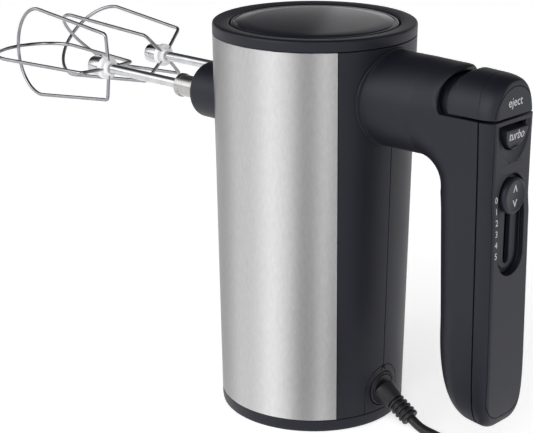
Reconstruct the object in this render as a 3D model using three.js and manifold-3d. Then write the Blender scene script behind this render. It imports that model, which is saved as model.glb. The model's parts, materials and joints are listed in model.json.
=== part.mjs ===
// Hand mixer that stands upright on its round base: a slightly tapered can with a wrapped steel
// sleeve, a closed-top grip on a stout arm, and a nose that holds two wire beaters.
// Millimetres, +Z up. The origin is the centre of the base's underside, the beaters point along -Y
// and the grip is on the +Y side, so the mixer is symmetric about the plane x = 0.
import * as THREE from 'three';
import { mergeVertices } from 'three/addons/utils/BufferGeometryUtils.js';
import Module from 'manifold-3d';

const wasm = await Module();
wasm.setup();

// ---------- driving dimensions ----------
const GAP = 0.3; // between fixed pieces that touch in the real mixer
const HEIGHT = 188.8; // table to the rim of the lid
const R_BASE = 44.4; // can radius at the table
const R_LID = 47.6; // can radius at the lid
const BASE_TOP = 5.9; // black base cap shows up to here
const LID_BOTTOM = 183.5; // black lid ring starts here
const WALL = 3.3; // can wall, sleeve included
const SLEEVE = 0.6; // steel sheet
const SLEEVE_EDGE_LOW = 56.1; // degrees from +X where the sleeve's edge meets the base
const SLEEVE_EDGE_HIGH = 53.5; // and the lid

const SPINDLE_X = 19.8; // beater axes, each side of the middle
const SPINDLE_Z = 150.3;
const NOSE_FRONT = -57;
const SOCKET_FRONT = -69;
const HUB_Y = -123.4; // where the wires leave a beater's hub
const LOOP_TIP_A = -194.8;
const LOOP_TIP_B = -197.4;
const LOOP_REACH = 23.2; // widest wire line from the beater's axis

const ARM_Z = 159.6; // arm axis
const ARM_HALF_HEIGHT = 22.1;
const ARM_HALF_WIDTH = 19.6; // at the can
const GRIP_HALF_WIDTH = 16.2;
const CORNER_Y = 68; // centre of the inner bend between arm and grip
const CORNER_Z = 125.5;
const CORNER_R = 12;
const GRIP_END_Z = 20.2;
const ARM_DROP = 1.8; // the arm's top falls this much towards its rear end
const CAP_POWER = 2.3; // the arm's oval gets squarer towards its rear end (2 is a plain oval)
const CAP_Z = 162.3; // seam under the eject cap
const EJECT_TRAVEL = 4;
const FASCIA_HALF = 13.6;
const FASCIA_LOW = 24.5;
const FASCIA_BEND = 11;
const REAR_ROUND = [4.0, 7.6]; // rounding of the grip's rear corners, across and deep
const CAP_ROUND = 2.4; // how far the eject cap's top falls towards its rear edge
const KNOB_Z = 127.7; // knob at position 0
const KNOB_R = 8.15;
const KNOB_FOOT_Y = 111.8; // underside of the knob, in front of its track
const KNOB_TRAVEL = 25;
const TURBO_Z = 157.8; // top edge of the turbo button
const TURBO_HALF = 7.9;
const HANDLE_WALL = 2.6;
const COVER_WALL = 4.4; // rear cover, which carries the fascia
const FASCIA_WALL = 2.1;
const INLAY_WALL = 1.0; // lettered plate let into the eject cap

const ROD_Z = 166; // eject rod
const GLAND_Z = 16.5;
const BOOT_ANGLE = THREE.MathUtils.degToRad(30); // cord boot points down and away
const CORD_R = 2.25;
const COIL_AT = [74, 93];
const COIL_RADII = [18.3, 22.8, 27.3, 31.8]; // turn centres of the coil, in two layers
const PLUG_X = 112; // middle of the plug
const PLUG_THICKNESS = 13.7;
const PIN_SPACING = 18.6;
const STATOR_R = 31;
const POST_AT = 24.3; // the frame's posts stand at the corners of a square, just outside the stator

const bodyRadius = (z) => R_BASE + ((R_LID - R_BASE) * z) / HEIGHT;
const rearFace = (z) => 113.35 + (100 - z) * 0.0155; // back of the grip
const innerFace = (z) => 81.3 + (100 - z) * 0.036; // front of the grip
const sideSeam = (z) => 105.1 + (CAP_Z - z) * 0.0145; // split of grip shell and rear cover

// ---------- solids ----------
function solidOf(geometry) {
  const bare = new THREE.BufferGeometry();
  bare.setAttribute('position', geometry.getAttribute('position'));
  bare.setIndex(geometry.getIndex());
  const merged = mergeVertices(bare, 1e-4);
  const at = merged.getAttribute('position');
  const corner = merged.getIndex().array;
  const faces = [];
  let volume = 0;
  const [a, b, c] = [new THREE.Vector3(), new THREE.Vector3(), new THREE.Vector3()];
  for (let i = 0; i < corner.length; i += 3) {
    const [p, q, r] = [corner[i], corner[i + 1], corner[i + 2]];
    if (p === q || q === r || r === p) continue;
    faces.push([p, q, r]);
    volume += a.fromBufferAttribute(at, p).dot(
      b.fromBufferAttribute(at, q).cross(c.fromBufferAttribute(at, r)));
  }
  const outward = volume < 0 ? faces.map(([p, q, r]) => [p, r, q]) : faces;
  return new wasm.Manifold(new wasm.Mesh({
    numProp: 3,
    vertProperties: Float32Array.from(at.array),
    triVerts: Uint32Array.from(outward.flat()),
  }));
}

const join = (first, ...rest) => rest.reduce((sum, next) => sum.add(next), first);
const cut = (first, ...rest) => rest.reduce((left, next) => left.subtract(next), first);
const both = (first, ...rest) => rest.reduce((common, next) => common.intersect(next), first);

function block([x0, x1], [y0, y1], [z0, z1]) {
  const geometry = new THREE.BoxGeometry(x1 - x0, y1 - y0, z1 - z0);
  geometry.translate((x0 + x1) / 2, (y0 + y1) / 2, (z0 + z1) / 2);
  return solidOf(geometry);
}

// Round bar or cone between two points.
function rod(radius, from, to, { endRadius = radius, sides = 16 } = {}) {
  const start = new THREE.Vector3(...from);
  const end = new THREE.Vector3(...to);
  const geometry = new THREE.CylinderGeometry(endRadius, radius, start.distanceTo(end), sides);
  const along = end.clone().sub(start).normalize();
  geometry.applyQuaternion(new THREE.Quaternion().setFromUnitVectors(new THREE.Vector3(0, 1, 0), along));
  const middle = start.add(end).multiplyScalar(0.5);
  geometry.translate(middle.x, middle.y, middle.z);
  return solidOf(geometry);
}

// Profile of [radius, height] points turned about the can's axis, or about `axis` through `foot`.
function turned(profile, sides = 44, foot = [0, 0, 0], axis = [0, 0, 1]) {
  const geometry = new THREE.LatheGeometry(profile.map(([r, z]) => new THREE.Vector2(r, z)), sides);
  geometry.applyQuaternion(
    new THREE.Quaternion().setFromUnitVectors(new THREE.Vector3(0, 1, 0), new THREE.Vector3(...axis)));
  geometry.translate(...foot);
  return solidOf(geometry);
}

function ring(inner, outer, z0, z1, sides = 36, foot = [0, 0, 0]) {
  return turned([[inner, z0], [outer, z0], [outer, z1], [inner, z1], [inner, z0]], sides, foot);
}

// Shape drawn in x and z, pressed out between two y values.
function pressedY(shape, y0, y1, steps = 8) {
  const geometry = new THREE.ExtrudeGeometry(shape, {
    depth: y1 - y0, bevelEnabled: false, curveSegments: steps,
  });
  geometry.rotateX(Math.PI / 2);
  geometry.translate(0, y1, 0);
  return solidOf(geometry);
}

// Shape drawn in y and z, pressed out to both sides of x = 0.
function pressedX(shape, half) {
  const geometry = new THREE.ExtrudeGeometry(shape, { depth: 2 * half, bevelEnabled: false });
  geometry.applyMatrix4(new THREE.Matrix4().makeBasis(
    new THREE.Vector3(0, 1, 0), new THREE.Vector3(0, 0, 1), new THREE.Vector3(1, 0, 0)));
  geometry.translate(-half, 0, 0);
  return solidOf(geometry);
}

const polygon = (points) => new THREE.Shape(points.map(([u, v]) => new THREE.Vector2(u, v)));

function stadium(half, z0, z1) { // upright slot with round ends
  const shape = new THREE.Shape();
  shape.absarc(0, z1 - half, half, 0, Math.PI, false);
  shape.absarc(0, z0 + half, half, Math.PI, 2 * Math.PI, false);
  return shape;
}

function lyingStadium(halfWidth, halfHeight, z) {
  const shape = new THREE.Shape();
  const reach = halfWidth - halfHeight;
  shape.absarc(reach, z, halfHeight, -Math.PI / 2, Math.PI / 2, false);
  shape.absarc(-reach, z, halfHeight, Math.PI / 2, 1.5 * Math.PI, false);
  return shape;
}

function oval(halfWidth, halfHeight, z) {
  const shape = new THREE.Shape();
  shape.absellipse(0, z, halfWidth, halfHeight, 0, 2 * Math.PI, false);
  return shape;
}

function arch(half, z0, z1) { // straight sides, round top
  const shape = new THREE.Shape();
  shape.moveTo(-half, z0);
  shape.lineTo(half, z0);
  shape.absarc(0, z1 - half, half, 0, Math.PI, false);
  return shape;
}

function shield(half, zTop, depth = half) { // flat top, round bottom
  const shape = new THREE.Shape();
  shape.moveTo(half, zTop);
  shape.absellipse(0, zTop, half, depth, 0, -Math.PI, true);
  return shape;
}

// Closed skin through rings of equal point counts; flat turns an end ring into 2-D points.
function loft(rings, flat) {
  const count = rings[0].length;
  const positions = rings.flat().flatMap((p) => [p.x, p.y, p.z]);
  const index = [];
  for (let k = 0; k + 1 < rings.length; k += 1) {
    for (let i = 0; i < count; i += 1) {
      const j = (i + 1) % count;
      const [a, b] = [k * count + i, k * count + j];
      index.push(a, b, b + count, a, b + count, a + count);
    }
  }
  const last = (rings.length - 1) * count;
  for (const [a, b, c] of THREE.ShapeUtils.triangulateShape(rings[0].map(flat), [])) index.push(a, c, b);
  for (const [a, b, c] of THREE.ShapeUtils.triangulateShape(rings.at(-1).map(flat), [])) {
    index.push(last + a, last + b, last + c);
  }
  const geometry = new THREE.BufferGeometry();
  geometry.setAttribute('position', new THREE.Float32BufferAttribute(positions, 3));
  geometry.setIndex(index);
  return solidOf(geometry);
}

// Curved strip of the can's wall, from inset `deep` to inset `shallow`, whose two side edges stand
// at the given angles at its foot and at its head.
function wallStrip(z0, z1, [from0, to0], [from1, to1], deep, shallow, steps) {
  const edge = (z, from, to) => {
    const at = (k, r) => {
      const angle = THREE.MathUtils.degToRad(from + ((to - from) * k) / steps);
      return new THREE.Vector3(r * Math.cos(angle), r * Math.sin(angle), z);
    };
    const outside = Array.from({ length: steps + 1 }, (_, k) => at(k, bodyRadius(z) - shallow));
    const inside = Array.from({ length: steps + 1 }, (_, k) => at(steps - k, bodyRadius(z) - deep));
    return outside.concat(inside);
  };
  return loft([edge(z0, from0, to0), edge(z1, from1, to1)], (p) => new THREE.Vector2(p.x, p.y));
}

// Solid can, grown or shrunk by `grow`.
function can(grow, z0, z1) {
  return turned([[0, z0], [bodyRadius(z0) + grow, z0], [bodyRadius(z1) + grow, z1], [0, z1]]);
}

// Round bar along a curve, with closed ends.
function wire(curve, radius, steps, sides = 8) {
  const section = new THREE.Shape();
  for (let k = 0; k < sides; k += 1) {
    const angle = (2 * Math.PI * (k + 0.5)) / sides;
    const point = [radius * Math.cos(angle), radius * Math.sin(angle)];
    if (k === 0) section.moveTo(...point);
    else section.lineTo(...point);
  }
  section.closePath();
  return solidOf(new THREE.ExtrudeGeometry(section, { steps, extrudePath: curve, bevelEnabled: false }));
}

// ---------- scene graph ----------
const mixer = new THREE.Group();

const looks = {
  shell: { color: 0x35363a, roughness: 0.48, metalness: 0 },
  fascia: { color: 0x3b3c40, roughness: 0.55, metalness: 0 },
  steel: { color: 0xc9cacb, roughness: 0.32, metalness: 1 },
  chrome: { color: 0xe4e5e7, roughness: 0.08, metalness: 1 },
  white: { color: 0xdfe0e0, roughness: 0.45, metalness: 0 },
  rubber: { color: 0x232326, roughness: 0.8, metalness: 0 },
  machined: { color: 0xa9abae, roughness: 0.35, metalness: 1 },
  copper: { color: 0xb06c3a, roughness: 0.4, metalness: 1 },
  lamination: { color: 0x6d6f73, roughness: 0.6, metalness: 0.8 },
  nylon: { color: 0xe8e3d4, roughness: 0.6, metalness: 0 },
  board: { color: 0x2f6b45, roughness: 0.6, metalness: 0 },
  carbon: { color: 0x2a2a2c, roughness: 0.9, metalness: 0 },
};
const materials = Object.fromEntries(
  Object.entries(looks).map(([name, look]) => [name, new THREE.MeshStandardMaterial(look)]));

function add(name, solid, look) {
  const { vertProperties, triVerts } = solid.getMesh();
  const geometry = new THREE.BufferGeometry();
  geometry.setAttribute('position', new THREE.BufferAttribute(Float32Array.from(vertProperties), 3));
  geometry.setIndex(new THREE.BufferAttribute(Uint32Array.from(triVerts), 1));
  geometry.computeVertexNormals();
  const mesh = new THREE.Mesh(geometry, materials[look]);
  mesh.name = name;
  mixer.add(mesh);
}

// ---------- handle outline ----------
const raised = (value, power) => Math.sign(value) * Math.abs(value) ** power;

// One cross-section between an inner and an outer point of the handle's side view.
function handleSection(station, inset) {
  const { inner, outer, width, innerRound, outerRound, power = 2, lift = 0 } = station;
  const from = new THREE.Vector2(...inner);
  const along = new THREE.Vector2(...outer).sub(from);
  const depth = Math.max(along.length() - 2 * inset, 2);
  from.addScaledVector(along.clone().normalize(), (along.length() - depth) / 2);
  along.normalize();
  const half = width - inset;
  const quarter = 4;
  const points = [];
  const corner = (sx, far, [rx, ry], first) => {
    const a = Math.max(Math.min(rx, width) - inset, 0.6);
    const b = Math.max(Math.min(ry, depth / 2 + inset) - inset, 0.6);
    const centre = far ? depth - b : b;
    for (let k = 0; k <= quarter; k += 1) {
      const angle = first + (k * Math.PI) / 2 / quarter;
      const swell = far ? 2 / power : 1;
      const x = sx * (half - a) + a * raised(Math.cos(angle), swell);
      const v = centre + b * raised(Math.sin(angle), swell);
      points.push(new THREE.Vector3(x, from.x + along.x * v, from.y + along.y * v + lift * inset));
    }
  };
  corner(1, true, outerRound, 0);
  corner(-1, true, outerRound, Math.PI / 2);
  corner(-1, false, innerRound, Math.PI);
  corner(1, false, innerRound, 1.5 * Math.PI);
  return points;
}

// Where a ray from the inner bend's centre leaves the handle's outer outline.
function outerReach(angle) {
  const top = ARM_Z + ARM_HALF_HEIGHT - ARM_DROP * Math.min(1, angle / 0.8);
  const rear = rearFace(CAP_Z);
  const round = 10.5;
  const [dy, dz] = [Math.sin(angle), Math.cos(angle)];
  const straight = Math.min(
    dz > 1e-6 ? (top - CORNER_Z) / dz : Infinity,
    dy > 1e-6 ? (rear - CORNER_Y) / dy : Infinity);
  const [y, z] = [CORNER_Y + straight * dy, CORNER_Z + straight * dz];
  const [cy, cz] = [rear - round, top - round];
  if (y <= cy || z <= cz) return [y, z];
  const [py, pz] = [CORNER_Y - cy, CORNER_Z - cz];
  const half = py * dy + pz * dz;
  const reach = -half + Math.sqrt(half * half - (py * py + pz * pz - round * round));
  return [CORNER_Y + reach * dy, CORNER_Z + reach * dz];
}

const mix = (a, b, t) => a + (b - a) * t;
const ease = (t) => THREE.MathUtils.smoothstep(t, 0, 1);

function handleStations(startY) {
  const stations = [];
  const armAt = (y, width) => stations.push({
    inner: [y, ARM_Z - ARM_HALF_HEIGHT],
    outer: [y, ARM_Z + ARM_HALF_HEIGHT],
    width,
    innerRound: [width, ARM_HALF_HEIGHT],
    outerRound: [width, ARM_HALF_HEIGHT],
  });
  armAt(startY, ARM_HALF_WIDTH);
  armAt(47, ARM_HALF_WIDTH - 0.2);
  armAt(57, ARM_HALF_WIDTH - 1.2);
  const bends = 9;
  for (let k = 0; k <= bends; k += 1) {
    const t = k / bends;
    const angle = (t * Math.PI) / 2;
    const boxy = ease((t - 0.15) / 0.35);
    stations.push({
      inner: [CORNER_Y + CORNER_R * Math.sin(angle), CORNER_Z + CORNER_R * Math.cos(angle)],
      outer: outerReach(angle),
      width: mix(17.6, GRIP_HALF_WIDTH, Math.min(1, t * 1.5)),
      innerRound: [mix(17.6, 13, t), mix(22, 14, t)],
      outerRound: [mix(17.6, REAR_ROUND[0], boxy), mix(22, REAR_ROUND[1], boxy)],
      power: 2 + (CAP_POWER - 2) * ease(t / 0.3) * (1 - boxy),
    });
  }
  const gripAt = (z) => stations.push({
    inner: [innerFace(z), z],
    outer: [rearFace(z), z],
    width: GRIP_HALF_WIDTH,
    innerRound: [13, 14],
    outerRound: REAR_ROUND,
  });
  gripAt(75);
  const ends = 6;
  for (let k = 0; k <= ends; k += 1) {
    const turn = (k * Math.PI) / 2 / ends;
    const [drop, tuck] = [Math.sin(turn), 1 - Math.cos(turn)];
    stations.push({
      inner: [innerFace(62) + 15 * tuck + 2.5 * tuck ** 2, mix(62, GRIP_END_Z + 1.7, drop)],
      outer: [rearFace(50) - 3.1 * tuck ** 1.8, mix(50, GRIP_END_Z, drop)],
      width: GRIP_HALF_WIDTH - 9.7 * tuck ** 1.8,
      innerRound: [mix(13, 11, tuck), mix(14, 5.6, tuck)],
      outerRound: [mix(REAR_ROUND[0], 4.3, tuck), mix(REAR_ROUND[1], 2.1, tuck)],
      lift: drop,
    });
  }
  return stations;
}

function handleSolid(inset, startY = 36) {
  const rings = handleStations(startY).map((station) => handleSection(station, inset));
  return loft(rings, (p) => new THREE.Vector2(p.x, p.y + p.z));
}

// Rear end of the arm above the grip: an oval section whose rear edge is rounded off.
function capForm(inset) {
  const columns = 14;
  const roundStart = 105; // at the sides; the rounding starts a little earlier on top
  const widthAt = (y) => mix(17.5, GRIP_HALF_WIDTH, ease((y - 70) / 30));
  const heightAt = (y) => ARM_HALF_HEIGHT - ARM_DROP * ease((y - 66) / 50);
  const row = (yOf, tuck) => {
    const points = Array.from({ length: columns + 1 }, (_, k) => {
      const angle = (k * Math.PI) / columns;
      const y = yOf(Math.sin(angle));
      const half = widthAt(y) - REAR_ROUND[0] * tuck - inset;
      const height = heightAt(y) - CAP_ROUND * tuck - inset;
      const swell = 2 / mix(2, CAP_POWER, ease((y - 66) / 36));
      return new THREE.Vector3(
        half * raised(Math.cos(angle), swell), y, ARM_Z + height * raised(Math.sin(angle), swell));
    });
    const [first, last] = [points[0], points.at(-1)];
    return [new THREE.Vector3(first.x, first.y, 150), ...points, new THREE.Vector3(last.x, last.y, 150)];
  };
  const rows = [76, 84, 91, 97].map((y) => row(() => y, 0));
  const steps = 5;
  for (let k = 0; k <= steps; k += 1) {
    const turn = (k * Math.PI) / 2 / steps;
    rows.push(row(
      (up) => mix(mix(roundStart, 103, up), rearFace(165) - inset, Math.sin(turn)),
      1 - Math.cos(turn)));
  }
  return loft(rows, (p) => new THREE.Vector2(p.x, p.z));
}

const handleSkin = handleSolid(0);
const capSkin = capForm(0);
const handleHollow = handleSolid(HANDLE_WALL, 34);

// ---------- can: base, shells, sleeve, lid ----------
const BASE_SCREWS = [30, 150, 270].map((degrees) => {
  const angle = THREE.MathUtils.degToRad(degrees);
  return [26 * Math.cos(angle), 26 * Math.sin(angle)];
});
const skirtR = bodyRadius(BASE_TOP) - WALL - GAP;
let baseCap = turned([
  [0, 0], [R_BASE - 0.8, 0], [R_BASE, 0.8], [bodyRadius(BASE_TOP), BASE_TOP], [skirtR, BASE_TOP],
  [skirtR, 11], [skirtR - 2, 11], [skirtR - 2, 3.2], [0, 3.2],
]);
baseCap = cut(baseCap, ring(34.7, 38.3, -1, 1.5, 36));
baseCap = join(baseCap, ...BASE_SCREWS.map(([x, y]) => rod(5, [x, y, 3], [x, y, 9])));
baseCap = cut(baseCap, ...BASE_SCREWS.flatMap(([x, y]) => [
  rod(3.8, [x, y, -1], [x, y, 2.6]),
  rod(1.9, [x, y, 2], [x, y, 10], { sides: 12 }),
]));
add('base_cap', baseCap, 'shell');
add('foot_ring', ring(35, 38, 0, 1.2, 36), 'rubber');
BASE_SCREWS.forEach(([x, y], k) => {
  const screw = join(rod(3.4, [x, y, 0.6], [x, y, 2.3]), rod(1.5, [x, y, 2.2], [x, y, 8.5], { sides: 8 }));
  const slot = join(
    block([x - 2.1, x + 2.1], [y - 0.4, y + 0.4], [0, 1.5]),
    block([x - 0.4, x + 0.4], [y - 2.1, y + 2.1], [0, 1.5]));
  add(`base_screw_${k + 1}`, cut(screw, slot), 'machined');
});

const SHELL_Z = [BASE_TOP + 0.2, LID_BOTTOM - 0.3];
const [low, high] = [SLEEVE_EDGE_LOW, SLEEVE_EDGE_HIGH];
const noseHole = (grow) => pressedY(lyingStadium(25.6 + grow, 11.6 + grow, SPINDLE_Z - 0.9), -60, -30, 8);
const armHole = pressedY(oval(ARM_HALF_WIDTH + 0.4, ARM_HALF_HEIGHT + 0.4, ARM_Z), 30, 60, 14);
const glandPanel = (grow) => pressedY(arch(11.2 + grow, 2, 28.3 + grow), 36, 60, 12);

const backStrip = wallStrip(...SHELL_Z, [low + 0.4, 179.6 - low], [high + 0.4, 179.6 - high], WALL, 0, 18);
const innerTube = cut(can(-SLEEVE - GAP, ...SHELL_Z), can(-WALL, SHELL_Z[0] - 0.001, SHELL_Z[1] + 0.001));
const shells = cut(
  join(innerTube, backStrip),
  noseHole(GAP), armHole, glandPanel(GAP), block([-0.15, 0.15], [-60, 60], [0, 200]));
add('shell_right', both(shells, block([0, 60], [-60, 60], [0, 200])), 'shell');
add('shell_left', both(shells, block([-60, 0], [-60, 60], [0, 200])), 'shell');

const sleeve = wallStrip(...SHELL_Z, [-180 - low, low], [-180 - high, high], SLEEVE, 0, 48);
add('steel_sleeve', cut(sleeve, noseHole(GAP)), 'steel');

const panelStrip = wallStrip(...SHELL_Z, [low + 10, 170 - low], [low + 10, 170 - low], WALL, 0, 12);
add('gland_plate', cut(both(panelStrip, glandPanel(0)),
  rod(8.55, [0, 30, GLAND_Z], [0, 60, GLAND_Z], { sides: 24 })), 'shell');

const lidSkirt = bodyRadius(LID_BOTTOM) - WALL - GAP;
const lidRing = turned([
  [lidSkirt, LID_BOTTOM], [bodyRadius(LID_BOTTOM), LID_BOTTOM], [bodyRadius(HEIGHT) - 0.1, HEIGHT - 1.6],
  [bodyRadius(HEIGHT) - 1.4, HEIGHT], [39.9, HEIGHT - 0.3], [39.7, HEIGHT - 3.4], [36, HEIGHT - 3.4],
  [36, HEIGHT - 5.2], [lidSkirt - 2, HEIGHT - 5.2], [lidSkirt - 2, 178], [lidSkirt, 178],
  [lidSkirt, LID_BOTTOM],
]);
add('lid_ring', cut(lidRing, block([-25, 25], [30, 60], [170, 183.2])), 'shell');
add('lid_disc', turned([
  [0, HEIGHT - 3.1], [39.2, HEIGHT - 3.1], [39.2, HEIGHT - 0.6], [36.8, HEIGHT - 0.3], [36.4, HEIGHT + 0.1],
  [0, HEIGHT + 0.6],
]), 'fascia');

// ---------- nose and beater sockets ----------
const sides = [['right', 1], ['left', -1]];
const noseZ = SPINDLE_Z - 0.9;
const noseTaper = pressedY(lyingStadium(26.2, 12.2, noseZ), NOSE_FRONT, -36, 9);
let nose = join(
  cut(pressedY(lyingStadium(27.5, 13.5, noseZ), NOSE_FRONT + 1.6, -30, 9), can(GAP, 100, 186)),
  cut(noseTaper, can(GAP, 100, 186)),
  pressedY(lyingStadium(25.5, 11.5, noseZ), NOSE_FRONT + 6, -40, 8));
nose = cut(nose, ...sides.map(
  ([, s]) => rod(6, [s * SPINDLE_X, -80, SPINDLE_Z], [s * SPINDLE_X, -20, SPINDLE_Z])));
add('nose_housing', nose, 'shell');
for (const [side, s] of sides) {
  const at = (y) => [s * SPINDLE_X, y, SPINDLE_Z];
  add(`socket_collar_${side}`, cut(
    join(
      rod(5.2, at(SOCKET_FRONT), at(SOCKET_FRONT + 1), { endRadius: 5.85 }),
      rod(5.85, at(SOCKET_FRONT + 1), at(-40))),
    rod(4.45, at(SOCKET_FRONT - 1), at(-39))), 'chrome');
}

// ---------- handle ----------
const seamLine = [[sideSeam(CAP_Z), CAP_Z], [sideSeam(28), 28], [108.2, 22], [109.5, 18.5], [112.5, 12]];
const coverRegion = (shift, top) => pressedX(polygon([
  ...seamLine.map(([y, z], k) => [y + shift, k === 0 ? top : z]), [130, 12], [130, top],
]), 30);
// Curved front of the eject cap; `shift` moves it rearwards.
const capRegion = (shift, bottom) => {
  const [cy, cz, r] = [98 + shift, 170, 15.2];
  const arc = Array.from({ length: 9 }, (_, k) => {
    const z = mix(bottom, 184.5, k / 8);
    return [cy - Math.sqrt(r * r - (z - cz) ** 2), z];
  });
  return pressedX(polygon([...arc, [130, 184.5], [130, bottom]]), 30);
};
const flange = cut(
  both(pressedY(oval(21.3, 22.9, ARM_Z), 30, 60, 14), can(1.1, 120, 186)),
  can(0.3, 110, 188));
add('handle_shell', cut(
  join(handleSkin, flange),
  handleHollow, coverRegion(-0.15, CAP_Z - 0.15), capRegion(0, CAP_Z - 0.15)), 'shell');

// Sleeve inside the arm: it is what shows in the groove in front of the eject cap.
const linerOval = (inset, y0, y1) => pressedY(oval(12.9 - inset, 17 - inset, ARM_Z + 0.2), y0, y1, 12);
add('arm_liner', cut(
  both(linerOval(0, 62, 94), handleSolid(HANDLE_WALL + GAP)),
  linerOval(1.8, 60, 92.2), rod(2.6, [0, 80, ROD_Z], [0, 100, ROD_Z])), 'shell');

const fasciaOutline = (grow) => {
  const [half, bottom, top, round] = [FASCIA_HALF + grow, FASCIA_LOW - grow, CAP_Z + 4, FASCIA_BEND];
  const shape = new THREE.Shape();
  shape.moveTo(half, top);
  shape.lineTo(-half, top);
  shape.lineTo(-half, bottom + round);
  shape.absarc(-half + round, bottom + round, round, Math.PI, 1.5 * Math.PI, false);
  shape.absarc(half - round, bottom + round, round, 1.5 * Math.PI, 2 * Math.PI, false);
  return pressedY(shape, 100, 125, 5);
};
const trackEnd = KNOB_Z - KNOB_TRAVEL;
const trackShape = (half) => pressedY(stadium(half, trackEnd - half - 1.9, KNOB_Z + half + 0.4), 100, 125, 10);
const turboPocket = pressedY(shield(TURBO_HALF + 1.9, TURBO_Z + 2, 12.2), 100, 125, 12);
const fasciaBack = handleSolid(FASCIA_WALL);
const coverBack = handleSolid(FASCIA_WALL + GAP);
add('fascia', cut(
  both(handleSkin, fasciaOutline(0), coverRegion(0.15, CAP_Z - 0.15), block([-20, 20], [106, 125], [0, 200])),
  fasciaBack, trackShape(9.4), turboPocket), 'fascia');
const coverRecess = cut(both(fasciaOutline(0.25), block([-20, 20], [106, 125], [0, 200])), coverBack);
add('rear_cover', cut(
  both(handleSkin, coverRegion(0.15, CAP_Z - 0.15)),
  handleSolid(COVER_WALL), coverRecess, trackShape(9.4), turboPocket), 'shell');

// Floor of the slider's recess, with the slot that the knob's stem runs in.
add('slider_track', cut(
  pressedY(stadium(9.1, trackEnd - 10.9, KNOB_Z + 9.4), 108.4, 110.7, 10),
  pressedY(stadium(2.2, trackEnd - 6.2, KNOB_Z + 6.2), 100, 125, 6)), 'fascia');

// ---------- buttons ----------
const inlayOutline = (grow) => pressedY(arch(FASCIA_HALF + grow, 150, 175.5 + grow), 95, 125, 12);
const inlayZone = block([-20, 20], [104, 125], [CAP_Z + 0.15, 190]);
const inlayRecess = cut(
  both(inlayOutline(0.25), block([-20, 20], [104, 125], [150, 190])), capForm(INLAY_WALL + GAP));
add('eject_cap', cut(
  both(capSkin, capRegion(EJECT_TRAVEL + 0.8, CAP_Z + 0.15)),
  capForm(HANDLE_WALL), inlayRecess), 'shell');
add('eject_inlay', cut(both(capSkin, inlayOutline(0), inlayZone), capForm(INLAY_WALL)), 'fascia');
const yoke = join(
  rod(2.1, [0, 17, ROD_Z], [0, 108.6, ROD_Z]),
  block([-24, 24], [15, 18], [146, 155]),
  block([-5, 5], [15, 18], [154, 167]));
add('eject_yoke', yoke, 'nylon');
add('eject_spring', cut(
  rod(5, [0, 94.4, ROD_Z], [0, 107.6, ROD_Z], { sides: 16 }),
  rod(3, [0, 90, ROD_Z], [0, 112, ROD_Z], { sides: 16 })), 'machined');

const turboFace = pressedX(polygon([
  [104.6, TURBO_Z - 12], [rearFace(148) + 0.3, TURBO_Z - 12], [rearFace(148) + 0.3, TURBO_Z - 9.6],
  [rearFace(158) + 1.7, TURBO_Z - 0.4], [rearFace(158) + 1.4, TURBO_Z + 1], [104.6, TURBO_Z + 1],
]), 20);
add('turbo_button', both(pressedY(shield(TURBO_HALF, TURBO_Z, 9.4), 104, 125, 14), turboFace), 'fascia');
add('turbo_spring', rod(2.6, [0, 100.7, 153.4], [0, 104.3, 153.4], { sides: 12 }), 'machined');

const knobFace = turned([
  [0, 0], [KNOB_R, 0], [KNOB_R, 1.7], [KNOB_R - 0.9, 2.7], [6.4, 2.9], [5.9, 2.4], [0, 2.2],
], 40, [0, KNOB_FOOT_Y, KNOB_Z], [0, 1, 0]);
const knobStem = block([-1.9, 1.9], [106.9, KNOB_FOOT_Y + 0.5], [KNOB_Z - 4, KNOB_Z + 4]);
add('speed_knob', join(knobFace, knobStem), 'fascia');

// ---------- drive train ----------
const frameParts = [
  ring(8.1, 41, 38, 41, 36), turned([[0, 128], [41, 128], [41, 132], [0, 132]], 36),
  block([-28, 28], [7.5, 10.5], [131, 168.5]), block([-28, 28], [-10.5, -7.5], [131, 168.5]),
  block([-28, 28], [-10.5, 10.5], [168, 171]),
  ...[[1, 1], [1, -1], [-1, 1], [-1, -1]].map(([a, b]) => rod(
    2.5, [POST_AT * a, POST_AT * b, 40], [POST_AT * a, POST_AT * b, 129], { sides: 8 })),
];
add('motor_frame', cut(
  join(...frameParts),
  rod(3.1, [0, 0, 120], [0, 0, 175]),
  ...sides.map(([, s]) => rod(4.45, [s * SPINDLE_X, -20, SPINDLE_Z], [s * SPINDLE_X, 14, SPINDLE_Z])),
), 'nylon');

add('motor_shaft', rod(3, [0, 0, 34], [0, 0, 172]), 'machined');
add('rotor_core', turned([
  [3.1, 62], [12, 62], [13, 68], [17.4, 68.3], [17.4, 98], [13, 98.3], [12, 104], [3.1, 104], [3.1, 62],
], 24), 'lamination');
add('commutator', ring(3.1, 9, 48, 60, 24), 'copper');
const fanBlade = (k) => {
  const geometry = new THREE.BoxGeometry(21, 1.4, 7.4);
  geometry.translate(18.3, 0, 116.3);
  geometry.rotateZ((k * Math.PI) / 4);
  return solidOf(geometry);
};
add('cooling_fan', join(
  ring(3.1, 8, 110, 122, 20), ring(7.5, 29.5, 112, 113.2, 24),
  ...Array.from({ length: 8 }, (_, k) => fanBlade(k))), 'nylon');
add('worm', ring(3.1, 4.4, 140, 161, 24), 'machined');
add('stator', turned([
  [18.3, 70], [STATOR_R, 70], [STATOR_R, 97], [27, 97], [25, 104], [18.3, 104], [18.3, 70],
], 28), 'lamination');
add('lower_bearing', ring(3.1, 7.8, 37, 43, 24), 'machined');
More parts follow.
